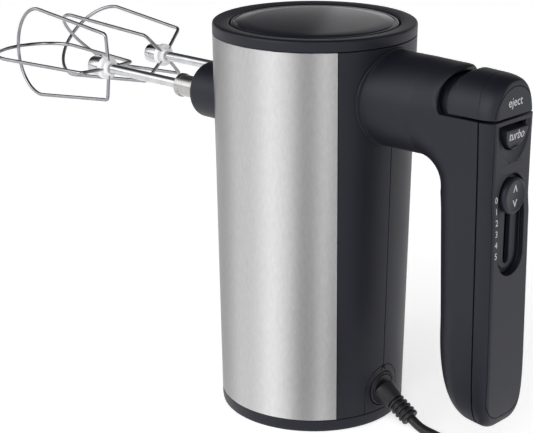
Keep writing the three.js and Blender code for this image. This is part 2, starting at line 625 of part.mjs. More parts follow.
for (const [side, s] of sides) {
  const span = (a, b) => (s > 0 ? [a, b] : [-b, -a]);
  add(`brush_holder_${side}`, cut(
    block(span(11, 27), [-5.5, 5.5], [41.3, 60]),
    block(span(10, 28), [-3.3, 3.3], [50.7, 57.3])), 'nylon');
  add(`carbon_brush_${side}`, block(span(9.2, 20), [-3, 3], [51, 57]), 'carbon');
  const at = (y) => [s * SPINDLE_X, y, SPINDLE_Z];
  add(`spindle_${side}`, cut(
    join(rod(4.3, at(-66), at(10.5)), rod(15.2, at(-4), at(4), { sides: 28 }), rod(8, at(-6.5), at(6.5))),
    rod(2.8, at(-70), at(12))), 'nylon');
  add(`ejector_pin_${side}`, rod(2.4, at(-31.6), at(14.7), { sides: 16 }), 'machined');
}

// ---------- electrics ----------
add('control_board', block([-9, 9], [96.5, 98], [48, 145]), 'board');
add('speed_switch', block([-5, 5], [98.3, 106.5], [trackEnd - 9, KNOB_Z + 9]), 'carbon');
add('turbo_switch', block([-4, 4], [98.3, 100.4], [149.5, 157.5]), 'carbon');
add('suppressor', block([-13, 13], [-22, -10], [10, 28]), 'board');

// ---------- beaters ----------
// Each wire loop leaves the hub sideways, turns a corner, runs out and comes back around the tip.
function loopCurve(tip, turn, s) {
  const shoulder = -177;
  const across = (r, y) => new THREE.Vector3(
    s * SPINDLE_X + r * Math.cos(turn), y, SPINDLE_Z + r * Math.sin(turn));
  const path = new THREE.CurvePath();
  const hubY = HUB_Y + 1;
  const leg = (sign) => [
    new THREE.LineCurve3(across(sign * 6.5, hubY), across(sign * 14.9, HUB_Y)),
    new THREE.QuadraticBezierCurve3(
      across(sign * 14.9, HUB_Y), across(sign * 17.1, HUB_Y - 0.1), across(sign * 17.4, HUB_Y - 2.6)),
    new THREE.LineCurve3(across(sign * 17.4, HUB_Y - 2.6), across(sign * LOOP_REACH, shoulder)),
  ];
  const back = (curve) => (curve.isLineCurve3
    ? new THREE.LineCurve3(curve.v2, curve.v1)
    : new THREE.QuadraticBezierCurve3(curve.v2, curve.v1, curve.v0));
  leg(1).forEach((curve) => path.add(curve));
  const bend = Array.from({ length: 13 }, (_, k) => {
    const angle = (k * Math.PI) / 12;
    return across(LOOP_REACH * Math.cos(angle), shoulder + (tip - shoulder) * Math.sin(angle));
  });
  path.add(new THREE.CatmullRomCurve3(bend));
  leg(-1).reverse().forEach((curve) => path.add(back(curve)));
  return path;
}

const loopTurns = { right: [90, 0], left: [45, 135] }; // degrees, set so that the two beaters mesh
for (const [side, s] of sides) {
  const at = (y) => [s * SPINDLE_X, y, SPINDLE_Z];
  add(`beater_shaft_${side}`, join(
    rod(2.5, at(-32), at(-126)),
    rod(5, at(-125), at(-133), { endRadius: 4.8, sides: 24 })), 'chrome');
  add(`beater_collar_${side}`, cut(
    join(rod(5.9, at(-124.6), at(-121.4), { sides: 24 }), rod(3.8, at(-121.6), at(-119.4))),
    rod(2.6, at(-130), at(-110))), 'white');
  [LOOP_TIP_A, LOOP_TIP_B].forEach((tip, k) => {
    const turn = THREE.MathUtils.degToRad(loopTurns[side][k]);
    add(`beater_loop_${side}_${'ab'[k]}`, wire(loopCurve(tip, turn, s), 0.95, 40, 6), 'chrome');
  });
}

// ---------- cord ----------
const bootDir = [Math.cos(BOOT_ANGLE), -Math.sin(BOOT_ANGLE)];
const onBoot = (s) => [0, 44 + bootDir[0] * s, GLAND_Z + bootDir[1] * s];
const ribs = [9.8, 12.2, 14.6, 17];
add('cord_boot', join(
  cut(rod(8.2, [0, 38, GLAND_Z], [0, 44.9, GLAND_Z], { sides: 24 }), block([-9, 9], [30, 41.8], [0, 12])),
  rod(6.3, onBoot(0.8), onBoot(9.6), { endRadius: 4.3 }),
  rod(3.3, onBoot(9), onBoot(20), { sides: 12 }),
  ...ribs.map((s) => rod(4.5, onBoot(s - 0.65), onBoot(s + 0.65), { sides: 12 })),
  rod(4.3, onBoot(18.4), onBoot(20.7))), 'rubber');

const floorZ = CORD_R + 0.05;
const [coilX, coilY] = COIL_AT;
const coilOut = COIL_RADII.at(-1);
const leadPoints = [
  onBoot(21), onBoot(23.4), [0, 67.2, 3.4], [0, 70.6, 2.55], [0.3, 75, floorZ], [1.8, 84, floorZ],
  [6, 94.5, floorZ], [13.5, 105, floorZ], [24, 114, floorZ], [36, 120.8, floorZ], [47, 124.2, floorZ],
  [coilX - 17.8, coilY + coilOut, floorZ],
];
const tailPoints = [
  [coilX + 17.8, coilY + coilOut, 6], [101, 123.2, 4.4], [109, 118.2, 2.9], [113.6, 110.5, floorZ],
  [115, 101, 2.4], [114, 91, 3.2], [112.4, 82, 4.8], [112, 75, 6.4], [112, 71.3, 6.85],
];
const throughPoints = (points) => new THREE.CatmullRomCurve3(points.map((p) => new THREE.Vector3(...p)));
add('cord_lead', wire(throughPoints(leadPoints), CORD_R, 12, 8), 'rubber');
add('cord_coil', ring(
  COIL_RADII[0] - CORD_R, coilOut + CORD_R, 0.05, 0.05 + 4 * CORD_R, 40, [coilX, coilY, 0]), 'rubber');
add('cord_tail', wire(throughPoints(tailPoints), CORD_R, 9, 8), 'rubber');

// Flat two-pin plug lying on its side, with the cord coming in at its narrow end.
const plugBevel = 1.2;
const plugOutline = new THREE.Shape();
plugOutline.moveTo(PLUG_X - 4.2, 71);
plugOutline.lineTo(PLUG_X + 4.2, 71);
plugOutline.lineTo(PLUG_X + 5.4, 62);
plugOutline.quadraticCurveTo(PLUG_X + 12.6, 57, PLUG_X + 12.6, 50);
plugOutline.lineTo(PLUG_X + 12.6, 36);
plugOutline.lineTo(PLUG_X - 12.6, 36);
plugOutline.lineTo(PLUG_X - 12.6, 50);
plugOutline.quadraticCurveTo(PLUG_X - 12.6, 57, PLUG_X - 5.4, 62);
const plugBody = new THREE.ExtrudeGeometry(plugOutline, {
  depth: PLUG_THICKNESS - 2 * plugBevel,
  bevelSize: plugBevel,
  bevelOffset: -plugBevel,
  bevelThickness: plugBevel,
  bevelSegments: 1,
  curveSegments: 6,
});
plugBody.translate(0, 0, plugBevel + 0.05);
const pinAt = (side, y) => [PLUG_X + (side * PIN_SPACING) / 2, y, PLUG_THICKNESS / 2];
add('plug', join(
  solidOf(plugBody),
  ...[-1, 1].map((side) => rod(2, pinAt(side, 38), pinAt(side, 17)))), 'rubber');

export default mixer;
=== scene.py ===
"""Looks of the hand mixer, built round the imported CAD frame. Sizes in the builders below are in
millimetres and are turned into metres when a mesh is made; the camera and the cord are in metres."""

import json
import math

import bmesh
import bpy
from mathutils import Matrix, Vector
from mathutils.bvhtree import BVHTree


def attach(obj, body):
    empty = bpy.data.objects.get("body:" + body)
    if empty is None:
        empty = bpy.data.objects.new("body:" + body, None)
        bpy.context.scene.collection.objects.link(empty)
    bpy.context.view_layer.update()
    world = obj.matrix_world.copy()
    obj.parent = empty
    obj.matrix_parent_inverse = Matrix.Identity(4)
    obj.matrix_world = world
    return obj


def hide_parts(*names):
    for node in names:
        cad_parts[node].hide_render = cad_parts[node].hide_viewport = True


MM = 0.001

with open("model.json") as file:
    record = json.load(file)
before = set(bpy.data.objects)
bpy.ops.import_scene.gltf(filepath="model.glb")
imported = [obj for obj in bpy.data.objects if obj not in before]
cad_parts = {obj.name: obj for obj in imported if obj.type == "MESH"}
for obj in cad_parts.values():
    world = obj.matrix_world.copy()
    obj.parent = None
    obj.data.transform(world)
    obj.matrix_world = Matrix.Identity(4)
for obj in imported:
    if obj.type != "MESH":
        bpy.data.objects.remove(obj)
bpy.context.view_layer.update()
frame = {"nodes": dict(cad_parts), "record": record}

# ---------- shared sizes ----------
R_BASE, R_LID, HEIGHT = 44.4, 47.6, 188.8  # can radius at the table and at the lid, and its height
BASE_TOP, LID_BOTTOM = 5.9, 183.5
EDGE_LOW, EDGE_HIGH = 56.1, 53.5  # the sleeve's edges, degrees from +X to the rear, at base and lid
SPINDLE_X, SPINDLE_Z = 19.8, 150.3  # beater axes
ARM_Z, ARM_HALF_HEIGHT, ARM_HALF_WIDTH = 159.6, 22.1, 19.6
GRIP_HALF = 16.2
BEND_Y, BEND_Z, BEND_R = 68.0, 125.5, 12.0  # inner bend between arm and grip
GRIP_END_Z, CAP_Z = 20.2, 162.3
ARM_DROP, CAP_POWER = 1.8, 2.3  # the arm's top falls, and its oval gets squarer, towards the rear
FASCIA_HALF, FASCIA_LOW, FASCIA_BEND = 13.6, 24.5, 11
REAR_ROUND = (4.0, 7.6)  # rounding of the grip's rear corners, across and deep
CAP_ROUND = 2.4  # how far the cap's top falls towards its rear edge
REAR_Y, REAR_LEAN = 113.35, 0.0155  # rear of the grip at z = 100, and how it slants
INNER_Y, INNER_LEAN = 81.3, 0.036  # front of the grip
SEAM_Y, SEAM_LEAN = 105.1, 0.0145  # seam between grip shell and rear cover, from CAP_Z down
KNOB_Z, KNOB_TRAVEL = 127.7, 25.0
TRACK_END = KNOB_Z - KNOB_TRAVEL
TURBO_Z = 157.8
GLAND_Z = 16.5
BOOT_TILT = math.radians(30)
boot_axis = Vector((0, math.cos(BOOT_TILT), -math.sin(BOOT_TILT)))
boot_root = Vector((0, 44, GLAND_Z))


def body_radius(z):
    return R_BASE + (R_LID - R_BASE) * z / HEIGHT


def rear_face(z):
    return REAR_Y + (100 - z) * REAR_LEAN


def inner_face(z):
    return INNER_Y + (100 - z) * INNER_LEAN


def mix(p, q, t):
    return p + (q - p) * t


def ease(t):
    t = max(0.0, min(1.0, t))
    return t * t * (3 - 2 * t)


# ---------- camera ----------
AZIMUTH, ELEVATION, ROLL = 132.72, 18.46, -0.13
CAMERA_AT = (0.5439, 0.4735, 0.3335)
SENSOR, LENS, SHIFT_X = 36, 106.66, -0.0056
a, e, roll = (math.radians(v) for v in (AZIMUTH, ELEVATION, ROLL))
back = Vector((math.sin(a) * math.cos(e), -math.cos(a) * math.cos(e), math.sin(e)))
right = (-back).cross(Vector((0, 0, 1))).normalized()
up = back.cross(right)
right, up = right * math.cos(roll) + up * math.sin(roll), up * math.cos(roll) - right * math.sin(roll)
camera_data = bpy.data.cameras.new("camera")
camera_data.sensor_width = SENSOR
camera_data.lens = LENS
camera_data.shift_x = SHIFT_X
camera = bpy.data.objects.new("camera", camera_data)
bpy.context.scene.collection.objects.link(camera)
camera.matrix_world = Matrix(
    [(right[i], up[i], back[i], CAMERA_AT[i]) for i in range(3)] + [(0, 0, 0, 1)])
bpy.context.scene.camera = camera

# ---------- cord (metres) ----------
CORD_D = 0.0045
COIL_X, COIL_Y = 0.074, 0.093
TURNS = (0.0318, 0.0273, 0.0228, 0.0183)  # radius of each turn, outside to inside
LOW_Z, HIGH_Z = 0.0023, 0.0068  # heights of the coil's two layers
CLIMB, WIDEN, COIL_END = 1260, 1560, 2520  # degrees wound to the second layer, its first step out, the end
SHIFT = 60  # degrees that a step to the next turn or layer takes


def coil_points():
    """Lower layer wound inwards, then the upper layer outwards, clockwise seen from above."""
    def eased(start, end, turn, first):
        return mix(start, end, ease((turn - first) / SHIFT))

    points = []
    for turn in range(0, COIL_END + 1, 12):
        if turn <= CLIMB:
            k = min((turn + 2 * SHIFT) // 360, 3)
            first = 360 * k - 2 * SHIFT
            radius = eased(TURNS[k - 1], TURNS[k], turn, first) if k and turn < first + SHIFT else TURNS[k]
            z = LOW_Z
        elif turn <= CLIMB + SHIFT:
            radius, z = TURNS[3], eased(LOW_Z, HIGH_Z, turn, CLIMB)
        else:
            k = max(0, min(3, (turn - WIDEN) // 360 + 1))
            first = WIDEN + 360 * (k - 1)
            radius = TURNS[3 - k]
            if k and turn < first + SHIFT:
                radius = eased(TURNS[4 - k], TURNS[3 - k], turn, first)
            z = HIGH_Z
        angle = math.radians(90 - turn)
        points.append((COIL_X + radius * math.cos(angle), COIL_Y + radius * math.sin(angle), z))
    return points


leave = boot_root * MM + boot_axis * 0.0208
lead = [
    tuple(leave), (0, 0.0643, 0.0048), (0, 0.0672, 0.0034), (0, 0.0706, 0.00255), (0.0003, 0.075, 0.0023),
    (0.0018, 0.084, 0.0023), (0.006, 0.0945, 0.0023), (0.0135, 0.105, 0.0023), (0.024, 0.114, 0.0023),
    (0.036, 0.1208, 0.0023), (0.047, 0.1242, 0.0023), (0.0562, 0.1248, 0.0023), (0.066, 0.1248, 0.0023)]
tail = [
    (0.082, 0.1248, 0.0067), (0.0918, 0.1248, 0.006), (0.101, 0.1232, 0.0044), (0.109, 0.1182, 0.0029),
    (0.1136, 0.1105, 0.0023), (0.115, 0.101, 0.0024), (0.114, 0.091, 0.0032), (0.1124, 0.082, 0.0048),
    (0.112, 0.075, 0.0064), (0.112, 0.0713, 0.00685)]
route = lead + coil_points() + tail
curve = bpy.data.curves.new("cord", "CURVE")
curve.dimensions = "3D"
curve.bevel_depth = 1.0  # times each point's radius
curve.bevel_resolution = 5
curve.use_fill_caps = True
curve.resolution_u = 6
spline = curve.splines.new("BEZIER")
spline.bezier_points.add(len(route) - 1)
for point, at in zip(spline.bezier_points, route):
    point.co = at
    point.radius = CORD_D / 2
    point.handle_left_type = point.handle_right_type = "AUTO"
cord = bpy.data.objects.new("cord", curve)
bpy.context.scene.collection.objects.link(cord)
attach(cord, "housing")
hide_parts("cord_lead", "cord_coil", "cord_tail")

# ---------- materials ----------


class Look:
    """A node material with a Principled shader and a small set of procedural maps."""

    def __init__(self, name, metallic=0.0):
        self.material = bpy.data.materials.new(name)
        self.material.use_nodes = True
        self.nodes = self.material.node_tree.nodes
        self.links = self.material.node_tree.links
        self.shader = self.nodes["Principled BSDF"]
        self.shader.inputs["Metallic"].default_value = metallic
        coords = self.nodes.new("ShaderNodeTexCoord")
        self.place = coords.outputs["Object"]

    def node(self, kind, inputs=(), **settings):
        made = self.nodes.new(kind)
        for key, value in settings.items():
            setattr(made, key, value)
        for key, value in dict(inputs).items():
            if isinstance(value, bpy.types.NodeSocket):
                self.links.new(value, made.inputs[key])
            else:
                made.inputs[key].default_value = value
        return made

    def math(self, operation, first, second=0.0):
        return self.node("ShaderNodeMath", {0: first, 1: second}, operation=operation).outputs[0]

    def noise(self, scale, detail=4.0, vector=None, roughness=0.55):
        inputs = {"Vector": vector or self.place, "Scale": scale, "Detail": detail, "Roughness": roughness}
        return self.node("ShaderNodeTexNoise", inputs).outputs["Fac"]

    def between(self, factor, low, high):
        inputs = {"Value": factor, "From Min": 0.3, "From Max": 0.7, "To Min": low, "To Max": high}
        return self.node("ShaderNodeMapRange", inputs).outputs["Result"]

    def colour(self, factor, dark, light):
        ramp = self.node("ShaderNodeValToRGB", {"Fac": factor})
        ramp.color_ramp.elements[0].position = 0.3
        ramp.color_ramp.elements[1].position = 0.7
        ramp.color_ramp.elements[0].color = (*dark, 1)
        ramp.color_ramp.elements[1].color = (*light, 1)
        self.links.new(ramp.outputs["Color"], self.shader.inputs["Base Color"])

    def roughness(self, value):
        self.links.new(value, self.shader.inputs["Roughness"])

    def bump(self, height, strength, distance):
        bump = self.node("ShaderNodeBump", {"Height": height, "Strength": strength, "Distance": distance})
        self.links.new(bump.outputs["Normal"], self.shader.inputs["Normal"])


def plastic(name, dark, light, rough, grain=0.12, grain_scale=2600.0, gloss=0.5, sheen=(1, 1, 1)):
    look = Look(name)
    look.shader.inputs["Specular IOR Level"].default_value = gloss
    look.shader.inputs["Specular Tint"].default_value = (*sheen, 1)
    broad = look.noise(22.0, 3.0)
    fine = look.noise(grain_scale, 2.0)
    look.colour(broad, dark, light)
    look.roughness(look.between(broad, rough - 0.03, rough + 0.03))
    look.bump(fine, grain, 0.00004)
    return look.material


def metal(name, dark, light, rough_low, rough_high, scale=180.0):
    look = Look(name, metallic=1.0)
    cloud = look.noise(scale, 3.0)
    look.colour(cloud, dark, light)
    look.roughness(look.between(cloud, rough_low, rough_high))
    return look.material


def brushed_round(name, dark, light):
    """Sheet brushed round the body: long streaks along the circumference, fine ones up it."""
    look = Look(name, metallic=1.0)
    parts = look.node("ShaderNodeSeparateXYZ", {"Vector": look.place})
    angle = look.math("ARCTAN2", parts.outputs["Y"], parts.outputs["X"])
    stretched = look.node("ShaderNodeCombineXYZ", {
        "X": look.math("MULTIPLY", angle, 0.10), "Y": look.math("MULTIPLY", parts.outputs["Z"], 9.0)})
    streak = look.noise(420.0, 3.0, stretched.outputs["Vector"], 0.7)
    wide = look.node("ShaderNodeCombineXYZ", {
        "X": look.math("MULTIPLY", angle, 0.5), "Y": look.math("MULTIPLY", parts.outputs["Z"], 4.0)})
    band = look.noise(60.0, 2.0, wide.outputs["Vector"])
    both = look.math("ADD", look.math("MULTIPLY", streak, 0.7), look.math("MULTIPLY", band, 0.3))
    look.colour(both, dark, light)
    look.roughness(look.between(streak, 0.48, 0.55))
    look.bump(streak, 0.10, 0.00002)
    tangent = look.node("ShaderNodeTangent", direction_type="RADIAL", axis="Z")
    look.links.new(tangent.outputs["Tangent"], look.shader.inputs["Tangent"])
    look.shader.inputs["Anisotropic"].default_value = 1.0
    look.shader.inputs["Anisotropic Rotation"].default_value = 0.25
    return look.material


COOL = (0.90, 0.92, 1.0)  # the plastics' reflections are slightly blue
CHARCOAL = ((0.0080, 0.0082, 0.0140), (0.0100, 0.0104, 0.0170))
LOOKS = {
    "black_plastic": plastic("black_plastic", (0.0055, 0.0057, 0.0100), (0.0075, 0.0077, 0.0125), 0.46,
                             gloss=0.32, sheen=COOL),
    "fascia_plastic": plastic("fascia_plastic", *CHARCOAL, 0.48, 0.06, gloss=0.38, sheen=COOL),
    "lid_plastic": plastic("lid_plastic", *CHARCOAL, 0.20, 0.06, gloss=0.12, sheen=COOL),
    "steel_sheet": brushed_round("steel_sheet", (0.56, 0.55, 0.555), (0.72, 0.715, 0.72)),
    "chrome_wire": metal("chrome_wire", (0.52, 0.52, 0.54), (0.64, 0.64, 0.66), 0.03, 0.07),
    "wire": metal("wire", (0.26, 0.26, 0.28), (0.36, 0.36, 0.38), 0.04, 0.08),
    "socket": metal("socket", (0.40, 0.39, 0.385), (0.50, 0.49, 0.48), 0.14, 0.22),
    "white_plastic": plastic("white_plastic", (0.72, 0.72, 0.72), (0.78, 0.78, 0.78), 0.34, 0.04),
    "black_rubber": plastic("black_rubber", (0.008, 0.008, 0.010), (0.012, 0.012, 0.014), 0.46, 0.2, 1800.0,
                            0.35),
    "machined_steel": metal("machined_steel", (0.42, 0.42, 0.44), (0.58, 0.58, 0.60), 0.25, 0.40, 600.0),
    "copper": metal("copper", (0.55, 0.26, 0.13), (0.70, 0.36, 0.20), 0.30, 0.42, 400.0),
    "core_steel": metal("core_steel", (0.16, 0.16, 0.17), (0.26, 0.26, 0.27), 0.45, 0.60, 500.0),
    "nylon": plastic("nylon", (0.62, 0.58, 0.48), (0.72, 0.69, 0.60), 0.50),
    "board": plastic("board", (0.03, 0.13, 0.06), (0.05, 0.18, 0.09), 0.45),
    "carbon": plastic("carbon", (0.015, 0.015, 0.016), (0.028, 0.028, 0.030), 0.60, 0.2),
    "print": plastic("print", (0.50, 0.50, 0.51), (0.56, 0.56, 0.57), 0.5, 0.03),
}
SHARP = 32  # degrees from which an edge is sharp, or is softened
STILL_SHARP = 50  # the same once a piece's edges are softened
for row in frame["record"]["subparts"]:
    mesh = frame["nodes"][row["node"]].data
    mesh.materials.clear()
    mesh.materials.append(LOOKS[row["material_slot"]])
    mesh.shade_smooth()
    mesh.set_sharp_from_angle(angle=math.radians(SHARP))

# ---------- mesh helpers (millimetres) ----------


def mesh_object(name, points, faces):
    mesh = bpy.data.meshes.new(name)
    mesh.from_pydata([Vector(p) * MM for p in points], [], faces)
    made = bpy.data.objects.new(name, mesh)
    bpy.context.scene.collection.objects.link(made)
    work = bmesh.new()
    work.from_mesh(mesh)
    bmesh.ops.remove_doubles(work, verts=work.verts, dist=1e-7)
    bmesh.ops.recalc_face_normals(work, faces=work.faces)
    work.to_mesh(mesh)
    work.free()
    return made


def lofted(name, rings):
    """Closed solid through rings of points, its first and last ring filled."""
    count = len(rings[0])
    faces = []
    for k in range(len(rings) - 1):
        for i in range(count):
            j = (i + 1) % count
            faces.append((k * count + i, k * count + j, (k + 1) * count + j, (k + 1) * count + i))
    faces.append(tuple(range(count - 1, -1, -1)))
    faces.append(tuple((len(rings) - 1) * count + i for i in range(count)))
    return mesh_object(name, [p for ring in rings for p in ring], faces)


def lathed(name, profile, steps=144, to_world=None):
    """Closed profile of (radius, height) turned about the height axis; to_world places it."""
    rings = []
    for k in range(steps):
        turn = 2 * math.pi * k / steps
        rings.append([Vector((r * math.cos(turn), r * math.sin(turn), h)) for r, h in profile])
    points = [p for ring in rings for p in ring]
    if to_world is not None:
        points = [to_world @ p for p in points]
    count = len(profile)
    faces = []
    for k in range(steps):
        n = (k + 1) % steps
        for i in range(count):
            j = (i + 1) % count
            if profile[i][0] == 0 and profile[j][0] == 0:
                continue
            corners = [(k, i), (n, i), (n, j), (k, j)]
            if profile[i][0] == 0:
                corners.remove((n, i))
            if profile[j][0] == 0:
                corners.remove((n, j))
            faces.append(tuple(r * count + c for r, c in corners))
    return mesh_object(name, points, faces)


def along(start, direction):
    """Matrix that stands a lathed piece on a point, with its height axis along a direction."""
    turn = Vector((0, 0, 1)).rotation_difference(Vector(direction).normalized())
    return Matrix.Translation(Vector(start)) @ turn.to_matrix().to_4x4()


def prism_y(name, outline, y0, y1):
    return lofted(name, [[(x, y, z) for x, z in outline] for y in (y0, y1)])


def prism_x(name, outline, half):
    return lofted(name, [[(x, y, z) for y, z in outline] for x in (-half, half)])


def box_of(name, xs, ys, zs):
    return prism_y(name, [(xs[0], zs[0]), (xs[1], zs[0]), (xs[1], zs[1]), (xs[0], zs[1])], ys[0], ys[1])


def solved(piece, tool, operation):
    """Cuts or joins a piece with a tool, which is used up."""
    modifier = piece.modifiers.new("cut", "BOOLEAN")
    modifier.operation = operation
    modifier.object = tool
    modifier.solver = "MANIFOLD"
    graph = bpy.context.evaluated_depsgraph_get()
    fresh = bpy.data.meshes.new_from_object(piece.evaluated_get(graph))
    piece.modifiers.clear()
    piece.data = fresh
    bpy.data.objects.remove(tool)


def cut(piece, *tools):
    for tool in tools:
        solved(piece, tool, "DIFFERENCE")
    return piece


def common(piece, *tools):
    for tool in tools:
        solved(piece, tool, "INTERSECT")
    return piece


def join(piece, *tools):
    for tool in tools:
        solved(piece, tool, "UNION")
    return piece


def copy_of(piece, name):
    made = piece.copy()
    made.data = piece.data.copy()
    made.name = name
    bpy.context.scene.collection.objects.link(made)
    return made


def split_faces(piece):
    """Splits many-sided faces into triangles, so that soft edges can't fold their thin tips over."""
    mesh = bmesh.new()
    mesh.from_mesh(piece.data)
    bmesh.ops.triangulate(mesh, faces=[face for face in mesh.faces if len(face.verts) > 8])
    mesh.to_mesh(piece.data)
    mesh.free()


def done(piece, look, body, *replaced, edge=0.0, segments=2):
    """Finishes a piece: soft edges, smooth shading, its material, and the CAD body it rides on."""
    if edge:
        split_faces(piece)
        bevel = piece.modifiers.new("edges", "BEVEL")
        bevel.width = edge * MM
        bevel.segments = segments
        bevel.limit_method = "ANGLE"
        bevel.angle_limit = math.radians(SHARP)
        bevel.use_clamp_overlap = False
    piece.data.shade_smooth()
    piece.data.set_sharp_from_angle(angle=math.radians(STILL_SHARP if edge else SHARP))
    if edge:
        weighted = piece.modifiers.new("even_shading", "WEIGHTED_NORMAL")
        weighted.mode = "FACE_AREA_WITH_ANGLE"
        weighted.keep_sharp = True
    piece.data.materials.clear()
    piece.data.materials.append(LOOKS[look])
    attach(piece, body)
    if replaced:
        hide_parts(*replaced)
    return piece


def arc(centre, radius, start, end, steps):
    """Points on a circle in a plane, angles in degrees."""
    return [
        (centre[0] + radius * math.cos(math.radians(start + (end - start) * k / steps)),
         centre[1] + radius * math.sin(math.radians(start + (end - start) * k / steps)))
        for k in range(steps + 1)]


def can_core(gap, low, high):
    """Solid cone of the can between two heights, `gap` wider all round."""
    return lathed("can_core", [
        (0, low), (body_radius(low) + gap, low), (body_radius(high) + gap, high), (0, high)], 180)


# ---------- can ----------
base_profile = [
    (0, 0), (34.7, 0), (34.7, 1.5), (38.3, 1.5), (38.3, 0), (43.2, 0), *arc((43.2, 1.0), 1.0, -90, 0, 5)[1:],
    (44.4, 2.2), (body_radius(BASE_TOP), BASE_TOP - 0.3), (body_radius(BASE_TOP) - 0.25, BASE_TOP),
    (40.8, BASE_TOP), (40.8, 11), (38.8, 11), (38.8, 3.2), (0, 3.2)]
base = lathed("base", base_profile, 180)
for turn in (30, 150, 270):
    at = (26 * math.cos(math.radians(turn)), 26 * math.sin(math.radians(turn)))
    join(base, lathed("boss", [(0, 3), (5, 3), (5, 9), (0, 9)], 24, Matrix.Translation((*at, 0))))
    cut(base,
        lathed("well", [(0, -1), (3.8, -1), (3.8, 2.6), (0, 2.6)], 32, Matrix.Translation((*at, 0))),
        lathed("hole", [(0, 2), (1.9, 2), (1.9, 10), (0, 10)], 24, Matrix.Translation((*at, 0))))
done(base, "black_plastic", "housing", "base_cap", edge=0.12)
foot = lathed("foot", [(35, 0.4), (35.4, 0), (37.6, 0), (38, 0.4), (38, 1.2), (35, 1.2)], 120)
done(foot, "black_rubber", "housing", "foot_ring")

WALL_Z = (BASE_TOP + 0.2, LID_BOTTOM - 0.3)


def wall(name, low, high, outer, inner, columns, rows):
    """Curved strip of the can's wall between two slanting edges, `outer` and `inner` deep."""
    rings = []
    for k in range(rows + 1):
        z = mix(*WALL_Z, k / rows)
        start, end = (mix(low[i], high[i], k / rows) for i in (0, 1))
        ring = []
        for depth, order in ((outer, range(columns + 1)), (inner, range(columns, -1, -1))):
            r = body_radius(z) - depth
            ring += [(r * math.cos(t), r * math.sin(t), z)
                     for t in (math.radians(mix(start, end, i / columns)) for i in order)]
        rings.append(ring)
    return lofted(name, rings)


def lying_stadium(half_width, half_height, z, steps=24):
    reach = half_width - half_height
    return arc((reach, z), half_height, -90, 90, steps) + arc((-reach, z), half_height, 90, 270, steps)


NOSE_Z = SPINDLE_Z - 0.9
sleeve = wall("sleeve", (-180 - EDGE_LOW, EDGE_LOW), (-180 - EDGE_HIGH, EDGE_HIGH), 0, 0.6, 220, 12)
cut(sleeve, prism_y("hole", lying_stadium(25.9, 11.9, NOSE_Z), -60, -30))
done(sleeve, "steel_sheet", "housing", "steel_sleeve", edge=0.12)


def ellipse(half_width, half_height, z, steps=96):
    turns = (2 * math.pi * k / steps for k in range(steps))
    return [(half_width * math.cos(t), z + half_height * math.sin(t)) for t in turns]


def arch(half, z0, z1):
    return [(-half, z0), (half, z0)] + arc((0, z1 - half), half, 0, 180, 40)


for side, edges in (
        ("right", ((EDGE_LOW + 0.35, 89.8), (EDGE_HIGH + 0.35, 89.8))),
        ("left", ((90.2, 179.65 - EDGE_LOW), (90.2, 179.65 - EDGE_HIGH)))):
    strip = wall(f"shell_{side}_back", *edges, 0, 3.3, 40, 12)
    cut(strip,
        prism_y("arm_hole", ellipse(ARM_HALF_WIDTH + 0.4, ARM_HALF_HEIGHT + 0.4, ARM_Z), 30, 60),
        prism_y("gland_hole", arch(11.45, 2, 28.55), 36, 60))
    done(strip, "black_plastic", "housing", f"shell_{side}", edge=0.16)
    spans = ((-90, EDGE_LOW - 2), (-90, EDGE_HIGH - 2))
    if side == "left":
        spans = tuple((180 - b, 180 - a) for a, b in spans)
    inner = wall(f"shell_{side}_inner", *spans, 0.9, 3.3, 60, 4)
    cut(inner, prism_y("nose_hole", lying_stadium(25.9, 11.9, NOSE_Z), -60, -30))
    done(inner, "black_plastic", "housing")

panel = wall("gland_panel", (70, 110), (70, 110), 0, 3.3, 30, 40)
common(panel, prism_y("outline", arch(11.2, 2, 28.3), 36, 60))
cut(panel, lathed("bore", [(0, 0), (8.55, 0), (8.55, 30), (0, 30)], 64, along((0, 30, GLAND_Z), (0, 1, 0))))
done(panel, "black_plastic", "housing", "gland_plate", edge=0.2)

top = HEIGHT
low_r, top_r = body_radius(LID_BOTTOM), body_radius(HEIGHT)
lid_profile = [
    (41.2, LID_BOTTOM), (low_r - 0.25, LID_BOTTOM), (low_r, LID_BOTTOM + 0.25), (top_r - 0.05, top - 1.5),
    *arc((top_r - 1.35, top - 1.3), 1.3, 0, 90, 7)[1:],
    (44.0, top - 0.15), (40.6, top - 0.5), (40.1, top - 0.7), (39.8, top - 1.1), (39.7, top - 3.4),
    (36, top - 3.4), (36, top - 5.2), (39.2, top - 5.2), (39.2, 178), (41.2, 178)]
lid = lathed("lid", lid_profile, 200)
cut(lid, box_of("notch", (-25, 25), (30, 60), (170, 183.2)))
done(lid, "black_plastic", "housing", "lid_ring")
disc_profile = [
    (0, top - 3.1), (39.0, top - 3.1), (39.1, top - 1.9), *arc((38.2, top - 1.5), 0.9, 0, 90, 4),
    (37.5, top - 0.62), (37.2, top - 0.85), (36.9, top - 0.85), (36.6, top - 0.45), (36.0, top - 0.22),
    (30, top + 0.05), (20, top + 0.32), (10, top + 0.48), (0, top + 0.53)]
done(lathed("lid_plate", disc_profile, 180), "lid_plastic", "housing", "lid_disc")

